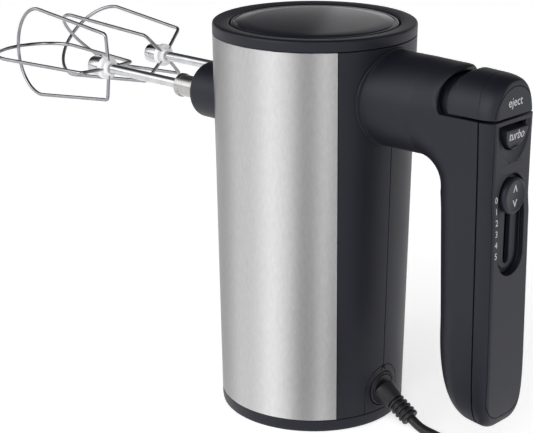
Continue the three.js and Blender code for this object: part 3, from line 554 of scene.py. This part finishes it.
# ---------- nose and sockets ----------
NOSE_FRONT, NOSE_ROUND = -57, 3
nose_steps = [(NOSE_ROUND - NOSE_ROUND * math.cos(t), NOSE_FRONT + NOSE_ROUND - NOSE_ROUND * math.sin(t))
              for t in (1.3, 1.0, 0.75, 0.5, 0.25)]
nose_steps = [(2.9, NOSE_FRONT + 0.1), *nose_steps, (0, NOSE_FRONT + NOSE_ROUND), (0, -30)]
nose = lofted("nose", [
    [(x, y, z) for x, z in lying_stadium(27.5 - inset, 13.5 - inset, NOSE_Z, 32)] for inset, y in nose_steps])
cut(nose, can_core(0.15, 100, 186))
join(nose, prism_y("spigot", lying_stadium(25.4, 11.4, NOSE_Z), -52, -39))
for s in (1, -1):
    bore = [(0, 0), (6.1, 0), (6.1, 60), (0, 60)]
    cut(nose, lathed("bore", bore, 64, along((s * SPINDLE_X, -80, SPINDLE_Z), (0, 1, 0))))
done(nose, "black_plastic", "housing", "nose_housing", edge=0.15)
for side, s in (("right", 1), ("left", -1)):
    place = along((s * SPINDLE_X, -69, SPINDLE_Z), (0, 1, 0))
    collar = lathed(f"socket_{side}", [
        (4.45, 0.5), (4.75, 0.1), (5.2, 0), (5.6, 0.12), (5.85, 0.5), (5.85, 2.0), (5.6, 2.3), (5.35, 2.5),
        (5.3, 10.5), (5.85, 10.8), (5.85, 29), (4.45, 29)], 64, place)
    done(collar, "socket", "housing", f"socket_collar_{side}")

# ---------- handle ----------


def outer_reach(angle):
    """Where a ray from the inner bend's centre leaves the handle's outer outline."""
    high = ARM_Z + ARM_HALF_HEIGHT - ARM_DROP * min(1, angle / 0.8)
    rear, bend = rear_face(CAP_Z), 10.5
    dy, dz = math.sin(angle), math.cos(angle)
    straight = min((high - BEND_Z) / dz if dz > 1e-6 else 1e9, (rear - BEND_Y) / dy if dy > 1e-6 else 1e9)
    y, z = BEND_Y + straight * dy, BEND_Z + straight * dz
    cy, cz = rear - bend, high - bend
    if y <= cy or z <= cz:
        return y, z
    py, pz = BEND_Y - cy, BEND_Z - cz
    half = py * dy + pz * dz
    reach = -half + math.sqrt(half * half - (py * py + pz * pz - bend * bend))
    return BEND_Y + reach * dy, BEND_Z + reach * dz


def handle_stations(start_y):
    """Sections from the can to the grip's end.

    Each is (inner point, outer point, half width, inner rounding, outer rounding, power, lift)."""
    rows = []
    for k in range(15):
        y = mix(start_y, BEND_Y, k / 14)
        width = mix(ARM_HALF_WIDTH, 17.6, ease((y - 40) / 34))
        rows.append(((y, ARM_Z - ARM_HALF_HEIGHT), (y, ARM_Z + ARM_HALF_HEIGHT), width,
                     (width, ARM_HALF_HEIGHT), (width, ARM_HALF_HEIGHT), 2, 0))
    for k in range(1, 73):
        t = k / 72
        angle = t * math.pi / 2
        inner = (BEND_Y + BEND_R * math.sin(angle), BEND_Z + BEND_R * math.cos(angle))
        boxy = ease((t - 0.15) / 0.35)
        rows.append((inner, outer_reach(angle), mix(17.5, GRIP_HALF, ease(min(1, t * 1.3))),
                     (mix(17.6, 13, t), mix(22, 14, t)),
                     (mix(17.6, REAR_ROUND[0], boxy), mix(22, REAR_ROUND[1], boxy)),
                     2 + (CAP_POWER - 2) * ease(t / 0.3) * (1 - boxy), 0))
    for z in (118, 110, 100, 90, 80, 74, 68):
        rows.append(((inner_face(z), z), (rear_face(z), z), GRIP_HALF, (13, 14), REAR_ROUND, 2, 0))
    for k in range(23):
        turn = k * math.pi / 44
        drop, tuck = math.sin(turn), 1 - math.cos(turn)
        rows.append(((inner_face(62) + 15 * tuck + 2.5 * tuck ** 2, mix(62, GRIP_END_Z + 1.7, drop)),
                     (rear_face(50) - 3.1 * tuck ** 1.8, mix(50, GRIP_END_Z, drop)),
                     GRIP_HALF - 9.7 * tuck ** 1.8, (mix(13, 11, tuck), mix(14, 5.6, tuck)),
                     (mix(REAR_ROUND[0], 4.3, tuck), mix(REAR_ROUND[1], 2.1, tuck)), 2, drop))
    return rows


def raised(value, power):
    return math.copysign(abs(value) ** power, value)


def handle_ring(station, inset, quarter):
    """Outline of one section, `inset` deep, with `quarter` steps round each corner."""
    (iy, iz), (oy, oz), width, inner_round, outer_round, power, lift = station
    whole = math.hypot(oy - iy, oz - iz)
    ay, az = (oy - iy) / whole, (oz - iz) / whole
    depth = max(whole - 2 * inset, 2)
    fy, fz = iy + ay * (whole - depth) / 2, iz + az * (whole - depth) / 2
    half = width - inset
    ring = []
    for sx, far, (rx, ry), first in ((1, True, outer_round, 0), (-1, True, outer_round, 90),
                                     (-1, False, inner_round, 180), (1, False, inner_round, 270)):
        p = max(min(rx, width) - inset, 0.6)
        q = max(min(ry, depth / 2 + inset) - inset, 0.6)
        middle = depth - q if far else q
        for k in range(quarter + 1):
            angle = math.radians(first + 90 * k / quarter)
            swell = 2 / power if far else 1
            x = sx * (half - p) + p * raised(math.cos(angle), swell)
            v = middle + q * raised(math.sin(angle), swell)
            ring.append((x, fy + ay * v, fz + az * v + lift * inset))
    return ring


def handle_solid(name, inset, start_y=36.0):
    return lofted(name, [handle_ring(s, inset, 14) for s in handle_stations(start_y)])


def cap_form(name, inset):
    """Rear end of the arm above the grip: an oval section whose rear edge is rounded off."""
    round_start, columns = 105.0, 72

    def row(place, tuck, groove=0.0):
        points = []
        for k in range(columns + 1):
            angle = math.pi * k / columns
            y = place(math.sin(angle))
            half = mix(17.5, GRIP_HALF, ease((y - 70) / 30)) - REAR_ROUND[0] * tuck - inset - groove
            height = ARM_HALF_HEIGHT - ARM_DROP * ease((y - 66) / 50) - CAP_ROUND * tuck - inset - groove
            swell = 2 / mix(2, CAP_POWER, ease((y - 66) / 36))
            x, z = half * raised(math.cos(angle), swell), height * raised(math.sin(angle), swell)
            points.append((x, y, ARM_Z + z))
        return [(points[0][0], points[0][1], 150), *points, (points[-1][0], points[-1][1], 150)]

    def start(up):
        return mix(round_start, 103, up)

    rows = [row(lambda up, y=y: y, 0) for y in range(76, 100, 2)]
    if not inset:  # fine line where the rounding starts
        rows += [row(lambda up: start(up) - 0.35, 0), row(lambda up: start(up) - 0.15, 0, 0.2)]
    for k in range(19):
        turn = k * math.pi / 36
        rows.append(row(
            lambda up, turn=turn: mix(start(up), rear_face(165) - inset, math.sin(turn)), 1 - math.cos(turn)))
    return lofted(name, rows)


SIDE_GAP, CAP_GAP = 0.3, 0.5  # half the seams beside the rear cover and under the eject cap


def side_seam(z):
    return SEAM_Y + (CAP_Z - z) * SEAM_LEAN


SEAM = [(side_seam(CAP_Z), CAP_Z), (side_seam(28), 28), (107.5, 25), (108.2, 22), (109.5, 18.5), (112.5, 12)]


def cover_region(shift, high):
    line = [(y + shift, high if k == 0 else z) for k, (y, z) in enumerate(SEAM)]
    return prism_x("cover_region", line + [(130, 12), (130, high)], 30)


CAP_ARC = (98.0, 170.0, 15.2)


def cap_region(shift, low):
    cy, cz, r = CAP_ARC
    levels = (mix(low, 184.5, k / 40) for k in range(41))
    line = [(cy + shift - math.sqrt(r * r - (z - cz) ** 2), z) for z in levels]
    return prism_x("cap_region", line + [(130, 184.5), (130, low)], 30)


def fascia_outline(grow, y0=104):
    half, low, high, bend = FASCIA_HALF + grow, FASCIA_LOW - grow, CAP_Z + 4, FASCIA_BEND
    outline = [(half, high), (-half, high)]
    outline += arc((-half + bend, low + bend), bend, 180, 270, 20)
    outline += arc((half - bend, low + bend), bend, 270, 360, 20)
    return prism_y("fascia_outline", outline, y0, 125)


def stadium(half, z0, z1):
    return arc((0, z1 - half), half, 0, 180, 28) + arc((0, z0 + half), half, 180, 360, 28)


def shield(half, high, depth, steps=36):
    turns = (math.pi * k / steps for k in range(1, steps))
    return [(half, high), *((half * math.cos(t), high - depth * math.sin(t)) for t in turns), (-half, high)]


def roll_rim(piece, form, shift, width, depth):
    """Rounds a piece's outer skin inwards along the curved cut in front of the eject cap."""
    tree = BVHTree.FromObject(form, bpy.context.evaluated_depsgraph_get())
    cy, cz, r = CAP_ARC
    side = 1 if shift else -1
    for vertex in piece.data.vertices:
        y, z = vertex.co.y / MM - cy - shift, vertex.co.z / MM - cz
        from_rim = (r - math.hypot(y, z)) * side
        if y < 0 and -9 < z and -0.05 < from_rim < width:
            _, normal, _, deep = tree.find_nearest(vertex.co)
            if deep < 0.05 * MM:
                left = width - max(from_rim, 0)
                fall = depth * ease((z + 7) / 5)
                vertex.co -= normal * (width - math.sqrt(max(0, width ** 2 - left ** 2))) * fall * MM


skin = handle_solid("skin", 0)

flange = prism_y("flange", ellipse(21.3, 22.9, ARM_Z), 30, 60)
common(flange, can_core(1.0, 120, 186))
shell = join(copy_of(skin, "handle_shell_look"), flange)
cut(shell,
    handle_solid("hollow", 2.6, 34),
    can_core(0.12, 100, 188),
    cover_region(-SIDE_GAP, CAP_Z - CAP_GAP),
    cap_region(0, CAP_Z - CAP_GAP))
roll_rim(shell, skin, 0, 2.2, 0.5)
done(shell, "black_plastic", "housing", "handle_shell", edge=0.22)

liner = prism_y("liner", ellipse(12.9, 17, ARM_Z + 0.2, 64), 62, 94)
common(liner, handle_solid("inside", 2.9))
cut(liner, prism_y("bore", ellipse(11.1, 15.2, ARM_Z + 0.2, 64), 60, 92.2),
    lathed("rod_hole", [(0, 0), (2.6, 0), (2.6, 20), (0, 20)], 24, along((0, 80, 166), (0, 1, 0))))
done(liner, "black_plastic", "housing", "arm_liner")

POCKET_TOP = TURBO_Z + 2
track_hole = stadium(9.45, TRACK_END - 11.3, KNOB_Z + 9.8)
pocket_hole = shield(9.8, POCKET_TOP, 12.0)


def scoop():
    """Shallow dish below and round the turbo button."""
    rings = []
    face = rear_face(152)
    for k in range(25):
        tilt = math.pi * (k / 24 - 0.5)
        y = face + 1.9 * math.sin(tilt)
        grow = max(math.cos(tilt), 0.02)
        rings.append([(x, y, z) for x, z in shield(11.9 * grow, POCKET_TOP, 17.5 * grow, 48)])
    return lofted("scoop", rings)


cover = common(copy_of(skin, "rear_cover_look"), cover_region(SIDE_GAP, CAP_Z - CAP_GAP))
cut(cover, handle_solid("cover_hollow", 4.4),
    cut(fascia_outline(0.15, 106), handle_solid("seat", 2.4)),
    prism_y("track", track_hole, 100, 125), prism_y("pocket", pocket_hole, 100, 125))
done(cover, "black_plastic", "housing", "rear_cover", edge=0.25)

plate = common(copy_of(skin, "fascia_look"), fascia_outline(0, 106), cover_region(SIDE_GAP, CAP_Z - CAP_GAP))
cut(plate, handle_solid("under", 2.1), prism_y("track", track_hole, 100, 125),
    prism_y("pocket", pocket_hole, 100, 125), scoop())
done(plate, "fascia_plastic", "housing", "fascia", edge=0.2)

track = prism_y("track_floor", stadium(9.1, TRACK_END - 10.9, KNOB_Z + 9.4), 108.4, 110.0)
join(track, prism_y("pill", stadium(6.4, TRACK_END - 8.6, KNOB_Z + 7.4), 109, 110.9))
cut(track, prism_y("slot", stadium(2.15, TRACK_END - 6.2, KNOB_Z + 6.2), 100, 125))
done(track, "fascia_plastic", "housing", "slider_track", edge=0.3, segments=3)

# ---------- buttons ----------
cap_gap = 4.8
cap_skin = cap_form("cap_skin", 0)
cap = common(copy_of(cap_skin, "eject_cap_look"), cap_region(cap_gap, CAP_Z + CAP_GAP))
cut(cap, cap_form("cap_hollow", 2.6))
recess = prism_y("recess", arch(FASCIA_HALF + 0.2, 150, 175.7), 104, 125)
cut(cap, cut(recess, cap_form("seat", 1.3)))
roll_rim(cap, cap_skin, cap_gap, 1.5, 0.6)
done(cap, "black_plastic", "ejector", "eject_cap", edge=0.2)
inlay = common(copy_of(cap_skin, "eject_inlay_look"),
               prism_y("zone", arch(FASCIA_HALF, 150, 175.5), 104, 125),
               box_of("above", (-20, 20), (104, 125), (CAP_Z + CAP_GAP, 190)))
cut(inlay, cap_form("under", 1.0))
done(inlay, "fascia_plastic", "ejector", "eject_inlay", edge=0.18)

button = prism_y("turbo_look", shield(7.9, TURBO_Z, 9.4), 104.6, 118)
face_line = [(100, TURBO_Z - 14), (rear_face(148) + 0.2, TURBO_Z - 14), (rear_face(148) + 0.2, TURBO_Z - 9.4),
             (rear_face(158) + 1.7, TURBO_Z - 0.6), (rear_face(158) + 1.4, TURBO_Z + 1),
             (100, TURBO_Z + 1)]
common(button, prism_x("face", face_line, 20))
done(button, "fascia_plastic", "turbo", "turbo_button", edge=0.35, segments=3)

knob = lathed("knob_look", [
    (0, 0.2), (7.9, 0.2), (8.15, 0.5), (8.15, 1.8), (8.0, 2.15), (7.1, 2.8), (6.85, 2.86), (6.6, 2.78),
    (6.3, 2.6), (0, 2.4)], 120, along((0, 111.8, KNOB_Z), (0, 1, 0)))
join(knob, box_of("stem", (-1.9, 1.9), (106.9, 112.4), (KNOB_Z - 4, KNOB_Z + 4)))
done(knob, "fascia_plastic", "speed", "speed_knob")

bpy.data.objects.remove(skin)
bpy.data.objects.remove(cap_skin)

# ---------- printed marks ----------
LIFT = 0.03  # height of print above its piece


def drape(piece, target):
    """Lays flat artwork, drawn just behind the mixer, onto the rear of a piece."""
    graph = bpy.context.evaluated_depsgraph_get()
    tree = BVHTree.FromObject(target, graph)
    work = bmesh.new()
    work.from_mesh(piece.data)
    front = max(v.co.y for v in work.verts)
    for vertex in work.verts:
        level = vertex.co.y - front
        hit = tree.ray_cast(Vector((vertex.co.x, 0.2, vertex.co.z)), Vector((0, -1, 0)))[0]
        vertex.co.y = hit.y + LIFT * MM + level
    work.to_mesh(piece.data)
    work.free()


def written(name, words, size, narrow, x, z, target, body):
    """One line of print, `narrow` times its usual width."""
    text = bpy.data.curves.new(name, "FONT")
    text.body = words
    text.size = size * MM
    text.align_x = "CENTER"
    text.align_y = "CENTER"
    text.extrude = 0.04 * MM
    text.resolution_u = 4
    shown = bpy.data.objects.new(name, text)
    bpy.context.scene.collection.objects.link(shown)
    graph = bpy.context.evaluated_depsgraph_get()
    mesh = bpy.data.meshes.new_from_object(shown.evaluated_get(graph))
    bpy.data.objects.remove(shown)
    made = bpy.data.objects.new(name, mesh)
    bpy.context.scene.collection.objects.link(made)
    turn = Matrix.Rotation(math.pi, 4, "Z") @ Matrix.Rotation(math.radians(90), 4, "X")
    mesh.transform(Matrix.Translation((x * MM, 0.13, z * MM)) @ turn @ Matrix.Diagonal((narrow, 1, 1, 1)))
    drape(made, target)
    done(made, "print", body)


for number in range(6):
    level = KNOB_Z - KNOB_TRAVEL * number / 5
    written(f"number_{number}", str(number), 4.0, 0.95, 11.1, level, plate, "housing")
written("turbo_word", "turbo", 6.0, 0.82, 0, 154.8, button, "turbo")
written("eject_word", "eject", 5.6, 0.95, 0, 168.9, inlay, "ejector")
for name, dz, flip in (("mark_up", 3.5, 1), ("mark_down", -3.3, -1)):
    stroke = []
    for x, z in ((-1.6, -1.7), (0, 1.7), (1.6, -1.7), (1.0, -1.7), (0, 0.45), (-1.0, -1.7)):
        stroke.append((x, z * flip + KNOB_Z + dz))
    mark = prism_y(name, stroke, 120, 120.07)
    drape(mark, knob)
    done(mark, "print", "speed")

# ---------- beaters ----------
HUB_Y, SHOULDER_Y, REACH = -123.4, -177.0, 23.2


def loop_line(tip):
    """Half of a wire loop's centreline as (distance from the axis, y), hub to tip."""
    line = [(3.6, HUB_Y + 1.1), (8, HUB_Y + 0.8), (14.6, HUB_Y + 0.1)]
    turns = [math.radians(15 * k) for k in range(1, 6)]
    line += [(15.2 + 2.2 * math.sin(t), HUB_Y - 2.2 + 2.2 * math.cos(t)) for t in turns]
    start = line[-1]
    line += [(mix(start[0], REACH, k / 12), mix(start[1], SHOULDER_Y, k / 12)) for k in range(1, 13)]
    turns = [math.pi * k / 48 for k in range(1, 25)]
    line += [(REACH * math.cos(t), SHOULDER_Y + (tip - SHOULDER_Y) * math.sin(t)) for t in turns]
    return line


def tube_along(name, line, radius, sides=14):
    """Round bar along points, its section carried on without twisting."""
    points = [Vector(p) for p in line]
    rings, side = [], None
    for k, p in enumerate(points):
        ahead = (points[min(k + 1, len(points) - 1)] - points[max(k - 1, 0)]).normalized()
        if side is None:
            side = ahead.orthogonal().normalized()
        side = (side - ahead * side.dot(ahead)).normalized()
        other = ahead.cross(side)
        rings.append([tuple(p + (side * math.cos(t) + other * math.sin(t)) * radius)
                      for t in (2 * math.pi * i / sides for i in range(sides))])
    return lofted(name, rings)


for side, s, turns in (("right", 1, (90, 0)), ("left", -1, (45, 135))):
    axis = Vector((s * SPINDLE_X, 0, SPINDLE_Z))
    body = f"{side}_beater"
    for letter, tip, turn in (("a", -194.8, turns[0]), ("b", -197.4, turns[1])):
        half = loop_line(tip)
        whole = half + [(-r, y) for r, y in half[-2::-1]]
        c, d = math.cos(math.radians(turn)), math.sin(math.radians(turn))
        line = [axis + Vector((r * c, y, r * d)) for r, y in whole]
        done(tube_along(f"wire_{side}_{letter}", line, 0.95), "wire", body, f"beater_loop_{side}_{letter}")
    stem = [(0, 32), (2.1, 32), (2.5, 32.5), (2.5, 124.4), (4.8, 124.4), (5.0, 124.7), (5.0, 132.3),
            (4.7, 132.9), (3.6, 133), (3.3, 132.2), (0, 132)]
    place = along(axis, (0, -1, 0))
    shaft = lathed(f"shaft_{side}", stem, 64, place)
    done(shaft, "chrome_wire", body, f"beater_shaft_{side}")
    ring = [(2.6, 119.6), (3.5, 119.6), (3.8, 119.9), (3.8, 121.3), (4.1, 121.6), (5.6, 121.7), (5.9, 122.0),
            (5.9, 124.1), (5.65, 124.35), (2.6, 124.35)]
    done(lathed(f"collar_{side}", ring, 64, place), "white_plastic", body, f"beater_collar_{side}")

# ---------- cord boot ----------
flat = along((0, 30, GLAND_Z), (0, 1, 0))
boot_base = lathed("boot_base", [
    (0, 8.5), (8.1, 8.5), (8.2, 14.4), (7.95, 14.8), (7.5, 14.9), (7.2, 14.4), (6.9, 14.4), (6.6, 15.0),
    (6.2, 15.1), (0, 15.1)], 96, flat)
cut(boot_base, box_of("clear", (-9, 9), (30, 41.8), (0, 12)))
done(boot_base, "black_rubber", "housing", "cord_boot")
profile = [(0, 0.8), (6.0, 0.8), (6.1, 1.6), (5.6, 3.4), (4.75, 8.6), (4.4, 9.4), (3.5, 9.5)]
for s in (9.8, 12.2, 14.6, 17.0):
    profile += [(3.4, s), (4.3, s + 0.1), (4.65, s + 0.45), (4.65, s + 1.0), (4.3, s + 1.35), (3.4, s + 1.45)]
profile += [(3.3, 18.9), (3.9, 19.0), (4.35, 19.3), (4.45, 20.2), (4.2, 20.7), (2.3, 20.75), (0, 20.75)]
sleeve_part = lathed("boot_sleeve", profile, 64, along(boot_root, boot_axis))
done(sleeve_part, "black_rubber", "housing", "cord_boot")

# ---------- plug and coil tie ----------
PLUG_X, PLUG_Y = 112, 53.5  # middle of the plug's body
PIN_Z = 6.85
plug_outline = [(107.8, 71), (116.2, 71), (117.2, 64.5), (118.2, 62.2)]
for t in (k / 8 for k in range(1, 9)):
    plug_outline.append((mix(mix(118.2, 124.6, t), 124.6, t), mix(mix(62.2, 57, t), 50, t)))
plug_outline += [(124.6, 37.5), (123.4, 36), (100.6, 36), (99.4, 37.5)]
plug_outline += [(2 * PLUG_X - x, y) for x, y in plug_outline[11:2:-1]] + [(106.8, 64.5)]
rings = []
for inset, z in ((1.6, 0.1), (0.5, 0.6), (0, 1.6), (0, 12.1), (0.5, 13.1), (1.6, 13.6)):
    rings.append([(PLUG_X + (x - PLUG_X) * (1 - inset / 13), PLUG_Y + (y - PLUG_Y) * (1 - inset / 18), z)
                  for x, y in plug_outline])
plug = lofted("plug_body", rings)
done(plug, "black_rubber", "housing", "plug", edge=0.2)
for k, dx in enumerate((-9.3, 9.3)):
    start, end = Vector((PLUG_X + dx, 37, PIN_Z)), Vector((PLUG_X + dx * 0.97, 17, PIN_Z))
    pin_profile = [(0, 0), (1.9, 0), (1.9, 10.5), (2.0, 10.6), (2.0, 19.0), (1.5, 19.9), (0, 20)]
    pin = lathed(f"plug_pin_{k}", pin_profile, 24, along(start, end - start))
    done(pin, "chrome_wire", "housing", "plug")
tie_line = []
for k in range(41):
    turn = 2 * math.pi * k / 40
    c, d = math.cos(turn), math.sin(turn)
    r = 25.05 + 10.2 * raised(c, 0.5)
    z = max(0.65, 4.55 + 5.4 * raised(d, 0.5))
    tie_line.append((COIL_X / MM + r * 0.8, COIL_Y / MM - r * 0.6, z))
tie = tube_along("coil_tie", tie_line, 0.6, 8)
done(tie, "white_plastic", "housing")
curve.materials.append(LOOKS["black_rubber"])

# ---------- stage and light ----------
paper = Look("paper")
paper.colour(paper.noise(40.0, 2.0), (0.80, 0.80, 0.80), (0.83, 0.83, 0.83))
paper.shader.inputs["Roughness"].default_value = 0.8
paper.shader.inputs["Emission Color"].default_value = (1, 1, 1, 1)
paper.shader.inputs["Emission Strength"].default_value = 0.58
FLOOR_HALF, FLOOR_Z = 30, -0.0002
floor_mesh = bpy.data.meshes.new("floor")
corners = [(x * FLOOR_HALF, y * FLOOR_HALF, FLOOR_Z) for x, y in ((-1, -1), (1, -1), (1, 1), (-1, 1))]
floor_mesh.from_pydata(corners, [], [(0, 1, 2, 3)])
floor_mesh.materials.append(paper.material)
floor = bpy.data.objects.new("floor", floor_mesh)
bpy.context.scene.collection.objects.link(floor)


def lamp(name, at, target, size, power, mirrored=False):
    """Soft lamp; unless `mirrored` it is left out of reflections, as the studio's walls make those."""
    light = bpy.data.lights.new(name, "AREA")
    light.shape = "RECTANGLE"
    light.size, light.size_y = size
    light.energy = power
    made = bpy.data.objects.new(name, light)
    bpy.context.scene.collection.objects.link(made)
    at, target = Vector(at), Vector(target)
    made.location = at
    made.rotation_euler = (target - at).to_track_quat("-Z", "Y").to_euler()
    made.visible_glossy = mirrored


lamp("key", (1.3, 0.9, 1.3), (0, 0, 0.1), (1.2, 1.2), 14)
lamp("lid_shine", (-0.59, -0.20, 0.376), (0, 0, HEIGHT * MM), (0.5, 0.35), 0.2, mirrored=True)

# Brightness of the studio's walls by direction, in degrees round the mixer from +X.
WALLS = [
    (-180, 0.1), (-150, 0.1), (-137, 0.1), (-118, 0.1), (-100, 0.0), (-90, 0.0), (-76, 0.7), (-60, 2.0),
    (-44, 1.8), (-32, 2.4), (-21, 3.7), (-11, 5.1), (-1, 4.3), (8, 3.5), (17, 2.4), (25, 0.4), (36, 0.0),
    (45, 1.7), (54, 3.6), (63, 1.6), (72, 0.8), (88, 0.3), (100, 0.2), (116, 0.6), (137, 1.0), (160, 0.1),
    (180, 0.1)]
BRIGHTEST = max(shade for _, shade in WALLS)
HORIZON, CEILING = 0.9, 0.08  # brightness at floor level and overhead


def studio():
    """Pale room with tall bright and dark panels round it and a dim ceiling."""
    world = bpy.data.worlds.new("world")
    bpy.context.scene.world = world
    world.use_nodes = True
    nodes, links = world.node_tree.nodes, world.node_tree.links

    def node(kind, inputs, **settings):
        made = nodes.new(kind)
        for key, value in settings.items():
            setattr(made, key, value)
        for key, value in inputs.items():
            if isinstance(value, bpy.types.NodeSocket):
                links.new(value, made.inputs[key])
            else:
                made.inputs[key].default_value = value
        return made.outputs[0]

    def fade(value, low, high):
        return node("ShaderNodeMapRange", {"Value": value, "From Min": low, "From Max": high},
                    interpolation_type="SMOOTHSTEP")

    coords = nodes.new("ShaderNodeTexCoord").outputs["Generated"]
    parts = nodes.new("ShaderNodeSeparateXYZ")
    links.new(coords, parts.inputs[0])
    x, y, z = parts.outputs
    turn = node("ShaderNodeMath", {0: y, 1: x}, operation="ARCTAN2")
    turn = node("ShaderNodeMapRange", {"Value": turn, "From Min": -math.pi, "From Max": math.pi})
    ramp = nodes.new("ShaderNodeValToRGB")
    ramp.color_ramp.interpolation = "EASE"
    stops = ramp.color_ramp.elements
    while len(stops) < len(WALLS):
        stops.new(0.5)
    for stop, (degrees, _) in zip(stops, WALLS):
        stop.position = (degrees + 180) / 360
    for stop, (_, shade) in zip(stops, WALLS):
        level = shade / BRIGHTEST
        stop.color = (level, level, level, 1)
    links.new(turn, ramp.inputs["Fac"])
    glow = node("ShaderNodeMath", {0: ramp.outputs["Color"], 1: BRIGHTEST}, operation="MULTIPLY")
    glow = node("ShaderNodeMix", {0: fade(z, 0.05, 0.2), 2: HORIZON, 3: glow})
    glow = node("ShaderNodeMix", {0: fade(z, 0.4, 0.8), 2: glow, 3: CEILING})
    links.new(glow, nodes["Background"].inputs["Color"])


studio()
bpy.context.scene.view_settings.view_transform = "Standard"
